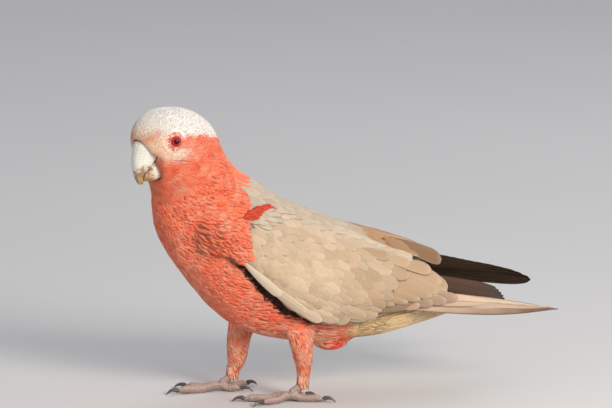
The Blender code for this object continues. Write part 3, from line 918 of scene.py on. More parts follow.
def coat(skin):
    """The small feathers, one piece for each tract of the body."""
    tree = feather_tree("body_feathers", scatter=True)
    small = vane_mesh("small_vane", rounded(0.62, 5, blunt=0.75, root=0.4), 2, 0.012)
    tiny = vane_mesh("tiny_vane", rounded(0.6, 4, blunt=0.8, root=0.4), 2, 0.02)
    look = feather_finish("body_feather", barbs=60.0, bump=0.03)
    spacing = {
        "head": (tiny, 0.72),
        "face": (tiny, 0.68),
        "neck": (small, 1.1),
        "breast": (small, 1.1),
        "belly": (small, 1.25),
        "back": (small, 1.5),
        "rump": (small, 1.8),
        "undertail": (small, 1.6),
        "thigh_left": (tiny, 1.0),
        "thigh_right": (tiny, 1.0),
    }
    for number, tract in enumerate(TRACTS):
        vane, gap = spacing[tract]
        settings = feather_settings(vane, look, 20 + number, math.radians(11), 0.16)
        settings.update(Tract=number, Spacing=gap * MM)
        piece = grown_feathers("coat_" + tract, skin, tree, settings)
        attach(piece, "root")
    for vane in (small, tiny):
        bpy.data.objects.remove(vane)
    return look


# ---------------------------------------------------------------- wings and tail


def on_grid(grid, a, b):
    """Values between a grid's samples, at the positions a and b."""
    a = np.clip(np.asarray(a, float), 0, grid.shape[0] - 1.001)
    b = np.clip(np.asarray(b, float), 0, grid.shape[1] - 1.001)
    i, k = a.astype(int), b.astype(int)
    s, t = a - i, b - k
    near = grid[i, k] * (1 - t) + grid[i, k + 1] * t
    far = grid[i + 1, k] * (1 - t) + grid[i + 1, k + 1] * t
    return near * (1 - s) + far * s


def grid_object(name, places, shape, flip, outward):
    """A sheet through a grid of places; feathers wrap over it, and it isn't part of the bird itself."""
    bm = bmesh.new()
    rows, columns = shape
    corners = [bm.verts.new(place) for place in places]
    for i in range(rows - 1):
        for k in range(columns - 1):
            a, b = i * columns + k, (i + 1) * columns + k
            ring = (corners[a], corners[b], corners[b + 1], corners[a + 1])
            bm.faces.new(ring[::-1] if flip else ring)
    mesh = bpy.data.meshes.new(name)
    bm.to_mesh(mesh)
    bm.free()
    mesh.shade_smooth()
    put(mesh, "out", outward, "FLOAT_VECTOR")
    made = new_object(name, mesh)
    made.hide_render = True
    return made


def spread(grid, rounds):
    """The grid with each value averaged with its neighbours."""
    for _ in range(rounds):
        edge = np.pad(grid, 1, mode="edge")
        around = (edge[:-2, 1:-1] + edge[2:, 1:-1] + edge[1:-1, :-2] + edge[1:-1, 2:]) / 4
        grid = 0.4 * grid + 0.6 * around
    return grid


# The wing's outer face is read from its solid as a surface over the body's side view (back, up).
WING_BACK, WING_UP, WING_STEP = (-62, 150), (40, 162), 2.0
WING_COVER = 2.6  # how far the feathers' bed lies under the solid's face


def grid_filled(values, known, over, under):
    """Carries each row on past what is known: inward by over above it and by under below it, per step."""
    out = values.copy()
    rows = np.flatnonzero(known.any(axis=1))
    for i in rows:
        spots = np.flatnonzero(known[i])
        low, high = spots[0], spots[-1]
        steps = np.arange(out.shape[1])
        row = np.interp(steps, spots, values[i, spots])
        out[i] = row - over * np.maximum(steps - high, 0) - under * np.maximum(low - steps, 0)
    for i in range(out.shape[0]):
        out[i] = out[min(max(i, rows[0]), rows[-1])]
    return spread(out, 7)


BACK_STEP, TURN_STEP = 2.0, math.radians(3)


class BackSurface:
    """Body and wings under one taut cover, for the feathers that run from the one over the other.

    Each cross section is a distance from the body's axis for each turn. Turn 0 is up and the left side is
    positive.
    """

    def __init__(self):
        item = remeshed("over", ("trunk", "neck", "wing_left", "wing_right"), 1.7, swell=0.4, rounds=3)
        points = upright(vertices(item.data))
        bpy.data.objects.remove(item)
        points = points[points[:, 1] < 112]
        self.backs = np.arange(-86, 132, BACK_STEP)
        self.turns = np.arange(-42, 43) * TURN_STEP
        self.axis = np.interp(self.backs, (-86, -40, 20, 112, 131), (116, 104, 92, 76, 71))
        reach = np.array([self.section(points, back) for back in self.backs])
        reach[:-1] = np.maximum(reach[:-1], reach[1:] - 1.0)
        first, last = np.searchsorted(self.backs, (-80, -48))
        share = np.linspace(0, 1, last - first + 1)[:, None]
        straight = reach[first] * (1 - share) + reach[last] * share
        on_side = ramp(np.abs(self.turns), 0.7, 0.95) * ramp(-np.abs(self.turns), -2.0, -1.8)
        lifted = np.maximum(reach[first : last + 1], straight)
        reach[first : last + 1] += (lifted - reach[first : last + 1]) * on_side
        self.reach = spread(reach, 5) - 1.0
        self.reach -= 4.6 * bell(self.backs, -46, 10)[:, None] * (1 - ramp(np.abs(self.turns), 0.45, 0.9))
        backs, turns = np.meshgrid(self.backs, self.turns, indexing="ij")
        places = self.places(backs.ravel(), turns.ravel())
        self.item = grid_object("over", places, backs.shape, True, self.normals(backs.ravel(), turns.ravel()))

    def section(self, points, back):
        """One cross section: taut over the shoulders, and close to the solids towards the tail."""
        near = points[np.abs(points[:, 1] - min(back, 109)) < 2.2]
        flat = near[:, [0, 2]] - (0, np.interp(min(back, 109), self.backs, self.axis))
        around = np.radians(np.arange(0, 360, 3.0))
        furthest = (flat @ np.stack([np.sin(around), np.cos(around)])).max(axis=0)
        apart = np.cos(around - self.turns[:, None])
        taut = np.where(apart > 0.1, furthest / np.maximum(apart, 0.1), 1e9).min(axis=1)
        off = np.abs(np.arctan2(flat[:, 0], flat[:, 1]) - self.turns[:, None])
        close = np.where(off < math.radians(4), np.linalg.norm(flat, axis=1), 0).max(axis=1)
        close = np.where(close > 5, close, taut)
        slack = float(ramp(back, 36, 70))
        return taut * (1 - slack) + close * slack

    def places(self, back, turn):
        """Row frame places on the cover."""
        back, turn = np.asarray(back, float), np.asarray(turn, float)
        reach = on_grid(self.reach, (back - self.backs[0]) / BACK_STEP, (turn - self.turns[0]) / TURN_STEP)
        axis = np.interp(back, self.backs, self.axis)
        return lean(np.stack([reach * np.sin(turn), back, axis + reach * np.cos(turn)], -1))

    def normals(self, back, turn):
        here = self.places(back, turn)
        along = self.places(np.asarray(back) + 1.0, turn) - here
        across = self.places(back, np.asarray(turn) + 0.03) - here
        return unit(np.cross(across, along))

    def frame(self, back, turn, dip):
        """Place, way of lying and outward way for a feather that points back and dips."""
        place, normal = Vector(self.places([back], [turn])[0]), Vector(self.normals([back], [turn])[0])
        lie = lean_way((0, math.cos(dip), -math.sin(dip)))
        lie = lie - normal * lie.dot(normal)
        return place, lie.normalized(), normal

    def turn_at(self, side, back, up):
        """The turn at which the cover's side has this height."""
        turns = np.arange(0, 42) * TURN_STEP
        heights = upright(self.places(np.full(len(turns), back), side * turns))[:, 2]
        return side * float(np.interp(up, heights[::-1], turns[::-1]))

    def root(self, side, back, up, dip):
        """The frame at a height on one side instead of at a turn."""
        return self.frame(back, self.turn_at(side, back, up), dip)


class WingSurface:
    """The bed that one wing's feathers lie on, as side distance over (back, up)."""

    def __init__(self, name):
        self.side = SIDES[name]
        self.tree = mesh_tree(NODES["wing_" + name].data)
        self.backs = np.arange(WING_BACK[0], WING_BACK[1] + 0.1, WING_STEP)
        self.ups = np.arange(WING_UP[0], WING_UP[1] + 0.1, WING_STEP)
        inward = lean_way((-self.side, 0, 0))
        out = np.zeros((len(self.backs), len(self.ups)))
        known = np.zeros(out.shape, bool)
        for i, back in enumerate(self.backs):
            for k, up in enumerate(self.ups):
                start = Vector(lean([(self.side * 100, back, up)])[0])
                hit = self.tree.ray_cast(start, inward)[0]
                if hit is not None and back < 113:
                    out[i, k] = 100 - (hit - start).length / MM
                    known[i, k] = True
        self.out = grid_filled(out, known, 3.0, 0.6)

    def side_at(self, back, up):
        """How far out the wing's face lies, in millimetres."""
        a = (np.asarray(back, float) - self.backs[0]) / WING_STEP
        return on_grid(self.out, a, (np.asarray(up, float) - self.ups[0]) / WING_STEP)

    def places(self, backs, ups):
        """Row frame places on the bed, which lies under the solid's face."""
        out = self.side_at(backs, ups) - WING_COVER
        return lean(np.stack([self.side * out, np.asarray(backs, float), np.asarray(ups, float)], -1))

    def normals(self, backs, ups):
        here = self.places(backs, ups)
        along = self.places(np.asarray(backs) + 1.5, ups) - here
        across = self.places(backs, np.asarray(ups) + 1.5) - here
        return unit(np.cross(along, across) * self.side)

    def frame(self, back, up, dip, run):
        """Place, way of lying and outward way for a feather that points back and dips."""
        here, ahead = self.places([back, back + math.cos(dip) * run], [up, up - math.sin(dip) * run])
        return here, (ahead - here) / np.linalg.norm(ahead - here), self.normals([back], [up])[0]

    def sheet(self, name, backs, ups):
        """The bed as an object, over a grid of places."""
        backs, ups, shape = backs.ravel(), ups.ravel(), backs.shape
        return grid_object(name, self.places(backs, ups), shape, self.side < 0, self.normals(backs, ups))


def inside_wing(back, up, margin):
    """Whether a place lies within the folded wing's outline, by a margin."""
    along = WING_EDGE[0, 0] + margin < back < WING_EDGE[-1, 0] - margin
    return along and wing_low(back) + margin < up < wing_high(back) - margin


def squared(face, lie):
    """The facing made square to the way the feather lies."""
    face = np.array(face)
    return unit(face - lie * face.dot(lie))


def root_of(back, up, dip, length):
    """Where a feather starts whose tip is at back and up, and its dip in radians."""
    dip = math.radians(dip)
    return back - math.cos(dip) * length, up + math.sin(dip) * length, dip


class Roots:
    """Places for feathers that are set one by one: each adds a row, and mesh() gives their root mesh."""

    def __init__(self):
        self.rows = []

    def add(self, place, lie, out, length, width, rise=1.0, base=0.0, bow=0.0, hug=1.0, tint=WHITE, tip=None):
        tip = tint if tip is None else tip
        self.rows.append((*place, *lie, *out, length, width, rise, base, bow, hug, *tint, *tip))

    def add_straight(self, start, end, facing, width, **more):
        """Adds a feather that stays flat, from its two ends' upright places."""
        start, end = lean([start, end])
        lie = unit(end - start)
        face = squared(lean_way(facing), lie)
        self.add(start, lie, face, np.linalg.norm(end - start) / MM, width, hug=0, **more)

    def mesh(self, name):
        rows = np.array(self.rows, float)
        mesh = bpy.data.meshes.new(name)
        mesh.vertices.add(len(rows))
        move_vertices(mesh, rows[:, :3])
        put(mesh, "lie", rows[:, 3:6], "FLOAT_VECTOR")
        put(mesh, "out", rows[:, 6:9], "FLOAT_VECTOR")
        for column, label in enumerate(("reach", "breadth", "rise", "base", "bow"), 9):
            put(mesh, label, rows[:, column] * MM)
        put(mesh, "hug", rows[:, 14])
        put(mesh, "tint", rows[:, 15:18], "FLOAT_COLOR")
        put(mesh, "tip_tint", rows[:, 18:21], "FLOAT_COLOR")
        put_unwrap(mesh, side_unwrap(rows[:, :3]))
        return new_object(name, mesh)


def planted(name, roots, tree, settings, body):
    """The feathers of a set of roots, wrapped over a body."""
    source = roots.mesh("roots")
    made = grown_feathers(name, source, tree, settings, body)
    bpy.data.objects.remove(source)
    return made


def side_unwrap(places):
    """The unwrap of a wing or a tail: its length against its width."""
    low, high = places.min(axis=0) - 1e-4, places.max(axis=0) + 1e-4
    share = (places - low) / (high - low)
    return 0.04 + 0.92 * share[:, 1:]


def edge_dip(back):
    """How steeply the wing's lower edge runs down, in degrees."""
    return np.interp(back, (-45, -26, -6, 14, 40), (45, 45, 32, 12, 0))


def covert_rows(surface, draw):
    """Small feathers at the wing's bend, in staggered rows that grow towards the large coverts."""
    roots = Roots()
    main = math.radians(38)
    way, cross = np.array([math.cos(main), -math.sin(main)]), np.array([math.sin(main), math.cos(main)])
    start = np.array([-58.0, 150.0])
    along, row = 0.0, 0
    while along < 118:
        share = along / 118
        gap = 2.3 + 6.0 * share
        width = 6.0 + 10.0 * share
        length = 9.0 + 22.0 * share**0.85
        for step in range(-60, 61):
            across = (step + 0.5 * (row % 2)) * width * 0.45
            forth = along + draw.uniform(-0.8, 0.8)
            back, up = start + way * forth + cross * (across + draw.uniform(-0.5, 0.5))
            low = wing_low(back)
            if not inside_wing(back, up, 0.4) or up < low + 0.44 * width or up > wing_high(back) - 4:
                continue
            near_low = float(1 - ramp(up - low, 1, 20))
            dip = (33 - 10 * float(ramp(back, 0, 70))) * (1 - near_low) + (edge_dip(back) + 2) * near_low
            dip = math.radians(dip) + draw.normal(0, 0.04)
            long = length * draw.uniform(0.9, 1.08)
            steps = np.linspace(0, long, 12)
            under = up - math.sin(dip) * steps < wing_low(back + math.cos(dip) * steps)
            room = steps[np.argmax(under)] + 1.5 if under.any() else long
            long = min(long, room)
            if long < 6 or back + math.cos(dip) * long > 90:
                continue
            here, lie, out = surface.frame(back, up, dip, 3)
            tint = wing_tint(back, up, back + 0.75 * long * math.cos(dip), share, draw)
            rise = 0.8 + 0.5 * share + draw.uniform(-0.15, 0.15)
            roots.add(here, lie, out, long, min(width, long * 0.8), rise=rise, base=0.2, tint=tint)
        along += gap
        row += 1
    return roots


def wing_tint(back, up, tip_back, share, draw):
    """Wing coverts are pale warm grey, a little darker near the top."""
    grey = mix(WING_PALE, WING_SHADE, 0.25 * draw.random() ** 1.5 + 0.75 * float(ramp(back, -20, 62)))
    grey = mix(grey, MANTLE, 0.35 * float(ramp(up, 118, 146)))
    grey = mix(grey, COVERT_WARM, 0.35 * draw.random() * float(ramp(share, 0.1, 0.6)))
    pink = 1.0 if tip_back < front_edge(up - 4) and up < 150 else 0.0
    return mix(grey, mix(CORAL, CORAL_PALE, 0.6 * draw.random()), pink)


# Long narrow feathers that give the wing's lower front edge its even line, with the columns of SECONDARIES.
EDGE_FEATHERS = ((25, 67.0, 32, 46, 11), (14, 66.5, 36, 46, 10), (0, 75.0, 40, 44, 9), (-18, 88.5, 44, 38, 8))


def edge_feathers(surface, draw):
    """The wing's lower front edge."""
    roots = Roots()
    for number, (back, up, dip, length, width) in enumerate(EDGE_FEATHERS):
        here, lie, out = surface.frame(*root_of(back, up, dip, length), length * 0.5)
        tint = mix(WING_PALE, EDGE_PALE, 0.4 + 0.4 * draw.random())
        roots.add(here, lie, out, length, width, rise=0.3, base=0.7 + 0.35 * number, tint=tint)
    return roots


def front_rows(surface, side, draw, skin_tree):
    """Small feathers from the breast and the neck over the wing's front edge, in the body's own colours."""
    roots = Roots()
    for back in np.arange(-88, -36, 1.2):
        for up in np.arange(104, 160, 1.2):
            back_at, up_at = back + draw.uniform(-0.6, 0.6), up + draw.uniform(-0.6, 0.6)
            dip = math.radians(24 + 10 * float(ramp(-up_at, -125, -105))) + draw.normal(0, 0.10)
            length = draw.uniform(7.0, 9.0)
            tip_back, tip_up = back_at + math.cos(dip) * length, up_at - math.sin(dip) * length
            turn = surface.turn_at(side, back_at, up_at)
            past_front = tip_back > front_edge(tip_up) + draw.normal(0, 0.5)
            if past_front or tip_up < wing_low(tip_back) + 0.5 or abs(turn) < 0.3:
                continue
            here, lie, out = surface.frame(back_at, turn, dip)
            tint = plumage([here - lie * 0.004])[0]
            near = skin_tree.find_nearest(here)[0]
            over_skin = max((here - near).dot(out) / MM, 0.0)
            inner = float(ramp(back_at, -88, -54) * (1 - ramp(up_at, 140, 160)) * ramp(up_at, 102, 112))
            rise = draw.uniform(0.6, 0.9) * (0.4 + 0.6 * inner)
            base = 0.2 * inner - over_skin * (1 - inner)
            roots.add(here, lie, out, length, 3.6, rise=rise, base=base, tint=tint)
    streak_feathers(surface, side, draw, roots)
    return roots


# The red streak at the shoulder: back, up and half its breadth.
STREAK = np.array(
    (
        (-43.0, 143.0, 0.7),
        (-38.5, 143.4, 2.1),
        (-34.0, 145.6, 2.3),
        (-30.5, 147.6, 1.3),
        (-26.0, 148.4, 0.5),
        (-20.0, 147.2, 0.2),
    )
)


def streak_feathers(surface, side, draw, roots):
    """Tiny red feathers that make the streak."""
    for back in np.arange(-43, -20, 0.7):
        middle, half = (float(np.interp(back, STREAK[:, 0], STREAK[:, k])) for k in (1, 2))
        for off in np.arange(-half, half + 0.01, 0.8):
            dip = math.radians(14) + draw.normal(0, 0.12)
            length = draw.uniform(3.8, 5.2)
            at = back - 0.5 * length + draw.uniform(-0.3, 0.3)
            here, lie, out = surface.root(side, at, middle + off + 0.6 + draw.uniform(-0.2, 0.2), dip)
            tint = mix(CORAL_DEEP, CORAL, 0.6 * draw.random())
            roots.add(here, lie, out, length, 1.5, rise=0.4, base=draw.uniform(0.8, 1.1), tint=tint)


# Long feathers of the arm, from the lowest: back and up of the tip, dip in degrees, length and width.
SECONDARIES = (
    (20, 70.5, 46, 48, 11),
    (31, 71.0, 42, 56, 11),
    (43, 71.0, 38, 62, 11.5),
    (56, 67.5, 35, 66, 12),
    (67, 70.5, 31, 68, 12),
    (78, 73.5, 28, 70, 12),
    (88, 76.0, 26, 70, 12.5),
    (97, 79.0, 25, 68, 13),
    (104, 81.5, 25, 66, 14),
    (110, 81.5, 26, 62, 14),
    (112, 84.0, 26, 60, 13),
    (106, 87.5, 25, 56, 13),
)
TERTIALS = (
    (96, 92.0, 23, 50, 13),
    (81, 98.5, 23, 44, 13),
    (66, 105.0, 23, 38, 13),
)
# The left hand's inner feathers show between the arm and the wing's tip: back and up of their tips.
HAND_ENDS = ((115, 77.5), (107, 76.0), (97, 75.0), (87, 73.5))
# The right wing's inner feathers lie flatter over the back: back and up of the tip, and their painted shade.
RIGHT_TERTIALS = (
    (65, 110.0, 0.45),
    (78, 107.5, 0.45),
    (92, 103.5, 0.45),
    (106, 98.5, 0.45),
    (120, 92.5, 0.7),
)


def arm_feathers(surface, draw):
    """The hand's inner feathers and the secondaries: each lies over the one before it."""
    shaded_far_wing = surface.side < 0
    roots = Roots()
    for number, (back, up, dip, length, width) in enumerate(SECONDARIES):
        here, lie, out = surface.frame(*root_of(back, up, dip, length), length * 0.5)
        tint = mix(WING_PALE, WING_SHADE, 0.55 + 0.4 * draw.random())
        # Painted shade: the far wing's upper secondaries are painted brown.
        if shaded_far_wing:
            tint = mix(tint, FAR_WING_SHADE_BROWN, 0.9 * float(ramp(number, 7, 10)))
        base = -2.2 + 0.14 * number
        end = mix(tint, WING_SHADE, 0.4)
        roots.add(here, lie, out, length, width, rise=2.1, base=base, tint=tint, tip=end)
    for number, (back, up) in enumerate(() if shaded_far_wing else HAND_ENDS):
        root, tip = (32.0, back - 46, up + 4.0), (39.8 + 0.3 * number, back, up)
        tint = mix(HAND_BROWN, WING_SHADE, 0.6 * draw.random())
        roots.add_straight(root, tip, (1.0, 0.0, 0.10), 8.4, bow=0.8, tint=tint)
    return roots


def tertial_feathers(surface, side, draw):
    """The innermost arm feathers, which close the folded wing above; the right wing's get a painted brown
    shade.
    """
    roots = Roots()
    for number, (back, up, dark) in enumerate(RIGHT_TERTIALS if side < 0 else ()):
        # Painted shade: the far wing's flat inner feathers darken by their share and towards their tips.
        root, tip = (-11, back - 48, up + 15.5), (-17, back, up - 4.5)
        tint = mix(mix(FAR_TERTIAL_WARM_SHADE, FAR_TERTIAL_SHADE_BROWN, 0.6 * draw.random()), FAR_PRIMARY_DARK_SHADE, dark)
        end = mix(tint, FAR_PRIMARY_DARK_SHADE, 0.2 * number)
        roots.add_straight(root, tip, (0.60, 0.10, 0.80), 14, base=-0.3 * number, bow=2.0, tint=tint, tip=end)
    for number, (back, up, dip, length, width) in enumerate(TERTIALS):
        here, lie, out = surface.root(side, *root_of(back, up, dip, length))
        tint = mix(WING_PALE, WING_SHADE, 0.5 + 0.4 * draw.random())
        # Painted warm shade on the far wing's tertials.
        if side < 0:
            tint = mix(tint, FAR_TERTIAL_WARM_SHADE, 0.95 - 0.1 * number)
        base = -1.5 + 0.12 * number
        roots.add(here, lie, out, length, width, rise=1.9, base=base, tint=tint)
    return roots


# The mantle runs from the neck's foot to the rump. Its lower edge: how far back, and at what height.
MANTLE_FROM, MANTLE_TO = -54.0, 79.0
MANTLE_EDGE = ((-54, -38, -24, -10, 12, 42, 72, 78), (146, 141, 142, 138, 128, 114, 102, 70))


def hollow_under(place, out, trees):
    """How far below a place the nearest of some solids lies, in mm."""
    start = place + out * 4 * MM
    hits = [tree.ray_cast(start, -out, 16 * MM)[3] for tree in trees]
    return min((hit for hit in hits if hit is not None), default=4 * MM) / MM - 4


def mantle_base(here, out, at, up, side, inner, wing, skin_tree):
    """A mantle feather's root above the taut cover, in mm: it sinks to the wing and, behind, to the rump."""
    hollow = hollow_under(here, out, (skin_tree, wing.tree))
    deepest = 9.0 if side > 0 else 1.8
    lowered = float(np.clip(hollow - 0.8, 0.0, deepest)) * float(ramp(at, 48, 68))
    over_wing = abs(upright(here)[0][0]) - float(wing.side_at(at, up)) + WING_COVER - 1.2
    over_wing = float(np.clip(over_wing, 0, 7)) * abs(out.dot(lean_way((1, 0, 0))))
    over_wing *= float(ramp(at, -48, -40))
    base = -1.2 + 1.4 * float(ramp(at, -54, -42)) - (0.3 + over_wing) * (1 - inner) - lowered
    return base - 0.35 * float(ramp(at, -30, 10)) if side < 0 else base


def mantle_rows(surface, side, draw, wing, skin_tree):
    """Feathers of the back and the shoulder, in rows that grow towards the rump."""
    roots = Roots()
    back, row = MANTLE_FROM, 0
    while back < MANTLE_TO:
        share = (back - MANTLE_FROM) / 126
        width, length = 4.4 + 8.0 * share, 9.5 + 14.5 * share
        lowest = np.interp(back, *MANTLE_EDGE)
        step = width * 0.5 / 44
        for number in range(60):
            turn = side * (number + 0.25 + 0.5 * (row % 2)) * step + draw.normal(0, 0.08) * step
            at = back + draw.uniform(-0.7, 0.7)
            dip = math.radians(24) + draw.normal(0, 0.06)
            here, lie, out = surface.frame(at, turn, dip)
            up = upright(here)[0][2]
            if up < lowest + draw.normal(0, 1.0) or (back > 72 and abs(turn) > 0.5):
                break
            tint = mix(MANTLE, WING_PALE, 0.05 + 0.55 * share + 0.2 * draw.random())
            tint = mix(tint, MANTLE_WARM, 0.35 * draw.random())
            tip_back = at + 0.7 * length * math.cos(dip)
            # Painted shade: the far side's rear mantle is painted brown.
            if side < 0:
                tint = mix(tint, FAR_BACK_SHADE_BROWN, 0.9 * float(ramp(tip_back, 46, 62)))
            if tip_back < front_edge(up - 3):
                tint = plumage([here - lie * 0.003])[0]
            inner = float(ramp(up - lowest, 0, 13))
            base = mantle_base(here, out, at, up, side, inner, wing, skin_tree)
            rise = (0.7 + 0.6 * share) * (0.35 + 0.65 * inner) + draw.uniform(-0.15, 0.15)
            beside_rump = float(ramp(at, 68, 74)) * float(ramp(abs(turn), 0.2, 0.34))
            reach = length * draw.uniform(0.92, 1.08) * (1 - 0.15 * beside_rump)
            roots.add(here, lie, out, reach, width, rise=rise, base=base, tint=tint)
        back += 2.4 + 3.2 * share
        row += 1
    return roots


# The wing's tip as the solids have it: each long feather's root height and where its tip lies.
PRIMARIES = ((73, 191), (75, 181), (77, 168), (79, 153), (80, 140), (80.5, 127))
# Each tip: how far out and how high it lies, the fan of its feathers and the step between two of them.
WING_TIPS = {"left": (38, 65.3, 2.6, 0.7), "right": (29, 62.2, 4.4, 0.5)}


def tip_feathers(name, draw):
    """The hand's long feathers: the left wing's longest lies outermost, the right wing's innermost."""
    roots = Roots()
    side = SIDES[name]
    tip_x, tip_z, fan, gap = WING_TIPS[name]
    heights, ends = np.array(PRIMARIES, float).T
    # Painted light and shade: the left primaries are their own pale with painted sunlight, the right ones
    # near black as painted shade.
    for number in np.arange(0, 3.6 if side > 0 else 5.1, gap):
        root_z = np.interp(number, range(6), heights)
        tip = (side * (tip_x + 0.5 * number), np.interp(number, range(6), ends), tip_z + fan * number**0.84)
        if side > 0:
            root = (33.5 + 0.3 * number, 50, root_z + 1.0)
            tint = mix(PRIMARY_PALE_SUNLIT, PRIMARY_BROWN, draw.random())
            end, base = mix(PRIMARY_END, PRIMARY_END_PALE, 0.0 if number == 0 else 0.75), -0.28 * number
        else:
            root = (-38.5 - 0.3 * number, 50, 83 + 0.5 * (root_z - 80.5))
            tint = mix(FAR_PRIMARY_DARK_SHADE, FAR_PRIMARY_SHADE_BROWN, draw.random())
            end, base = FAR_PRIMARY_DARK_SHADE, 0.3 * number
        width = 11.5 if side > 0 and number == 0 else 10.4
        roots.add_straight(root, tip, (side, 0.0, 0.10), width, base=base, bow=-1.0, tint=tint, tip=end)
    return roots


TAIL_COUNT = 12


def tail_feathers(draw):
    """Twelve long feathers in a low roof, the middle pair on top."""
    roots = Roots()
    for number in range(TAIL_COUNT):
        off = number - (TAIL_COUNT - 1) / 2
        root = (off * 2.0, 64, 87.0 - 0.3 * abs(off))
        tip = (off * 3.7, 157.5 - 0.23 * (off - 4) ** 2, 70.3 - 0.7 * abs(off))
        facing = (0.13 * math.copysign(1, off), 0.15, 1)
        tint = mix(TAIL_DARK, TAIL_BROWN, draw.random())
        base = 0.15 * (6 - abs(off))
        roots.add_straight(root, tip, facing, 14.8, base=base, bow=1.5, tint=tint, tip=TAIL_END)
    return roots


def wing_bed(name, surface):
    """A closed thin slab under the coverts, so that no light comes through between them."""
    shares = np.linspace(0.02, 0.98, 40)
    backs = WING_EDGE[0, 0] + 1 + (WING_EDGE[-1, 0] - WING_EDGE[0, 0] - 3) * shares
    low, high = wing_low(backs) + 1.5, wing_high(backs) - 4.0
    t = np.linspace(0, 1, 18)
    ups = low[:, None] * (1 - t) + high[:, None] * t
    grid = np.repeat(backs[:, None], len(t), axis=1)
    sheet = surface.sheet("wing_" + name + "_bed", grid, ups)
    sheet.hide_render = False
    wall = sheet.modifiers.new("wall", "SOLIDIFY")
    wall.thickness, wall.offset = 1.6 * MM, -1.0
    evaluated(sheet)
    put(sheet.data, "tint", np.tile(WING_SHADE, (len(sheet.data.vertices), 1)), "FLOAT_COLOR")
    return sheet


def wings_and_tail(base_look, fine_look, skin):
    """All that is grown as single feathers in place: both wings, the shoulders, the back and the tail."""
    short = rounded(0.6, 10, blunt=0.55, root=0.3)
    long = rounded(0.80, 26, blunt=0.45, root=0.3)
    covert = vane_mesh("covert_vane", short, 6, 0.006, ridge=0.006, camber=0.02)
    flight = vane_mesh("flight_vane", long, 10, 0.003, ridge=0.005, camber=0.012)
    hand = vane_mesh("hand_vane", pointed(0.60, 30), 10, 0.003, ridge=0.004, camber=0.010)
    fine = vane_mesh("fine_vane", rounded(0.62, 5, blunt=0.75, root=0.4), 2, 0.012)
    tree = feather_tree("set_feathers", scatter=False)
    covert_look = feather_finish("covert_feather", barbs=110.0, bump=0.04, shaft=0.20, fringe=0.22)
    flight_look = flight_finish("flight_feather", 0.42, 1.05)
    tail_look = flight_finish("tail_feather", 0.98, 1.2)
    joined = BackSurface()
    over = joined.item
    for name, side in SIDES.items():
        surface = WingSurface(name)
        draw = np.random.default_rng(WING_SEEDS[name])
        guide = surface.sheet("guide", *np.meshgrid(surface.backs, surface.ups, indexing="ij"))
        pieces = [wing_bed(name, surface)]
        paint(pieces[0], base_look)
        sets = (
            ("coverts", covert_rows(surface, draw), guide, covert, covert_look, 0.07, 0.06),
            ("arm", arm_feathers(surface, draw), guide, flight, covert_look, 0.0, 0.0),
            ("tertials", tertial_feathers(joined, side, draw), over, flight, covert_look, 0.0, 0.0),
            ("tip", tip_feathers(name, draw), guide, hand if side > 0 else flight, flight_look, 0.0, 0.0),
            ("edge", edge_feathers(surface, draw), guide, flight, covert_look, 0.0, 0.0),
            ("mantle", mantle_rows(joined, side, draw, surface, skin), over, covert, covert_look, 0.05, 0.05),
            ("shoulder", front_rows(joined, side, draw, skin), over, fine, fine_look, 0.1, 0.1),
        )
        for label, roots, body, vane, look, turn, uneven in sets:
            settings = feather_settings(vane, look, 5, turn, uneven)
            pieces.append(planted(f"wing_{name}_{label}", roots, tree, settings, body))
        for piece in pieces:
            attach(piece, "root")
            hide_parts("wing_" + name)
        bpy.data.objects.remove(guide)
    roots = tail_feathers(np.random.default_rng(TAIL_SEED))
    guide = new_object("guide", NODES["tail"].data)
    tail = planted("tail_feathers", roots, tree, feather_settings(flight, tail_look, 6), guide)
    bpy.data.objects.remove(guide)
    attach(tail, "root")
    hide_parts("tail")
    for vane in (covert, flight, hand, fine, joined.item):
        bpy.data.objects.remove(vane)


# ---------------------------------------------------------------- bill, eyes and feet


def horn(name, node, voxel, rounds, look):
    """A smooth copy of a hard part in place of its faceted solid."""
    made = remeshed(name, (node,), voxel, swell=0.15, rounds=rounds)
    paint(made, look)
    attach(made, "root")
    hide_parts(node)
    return made


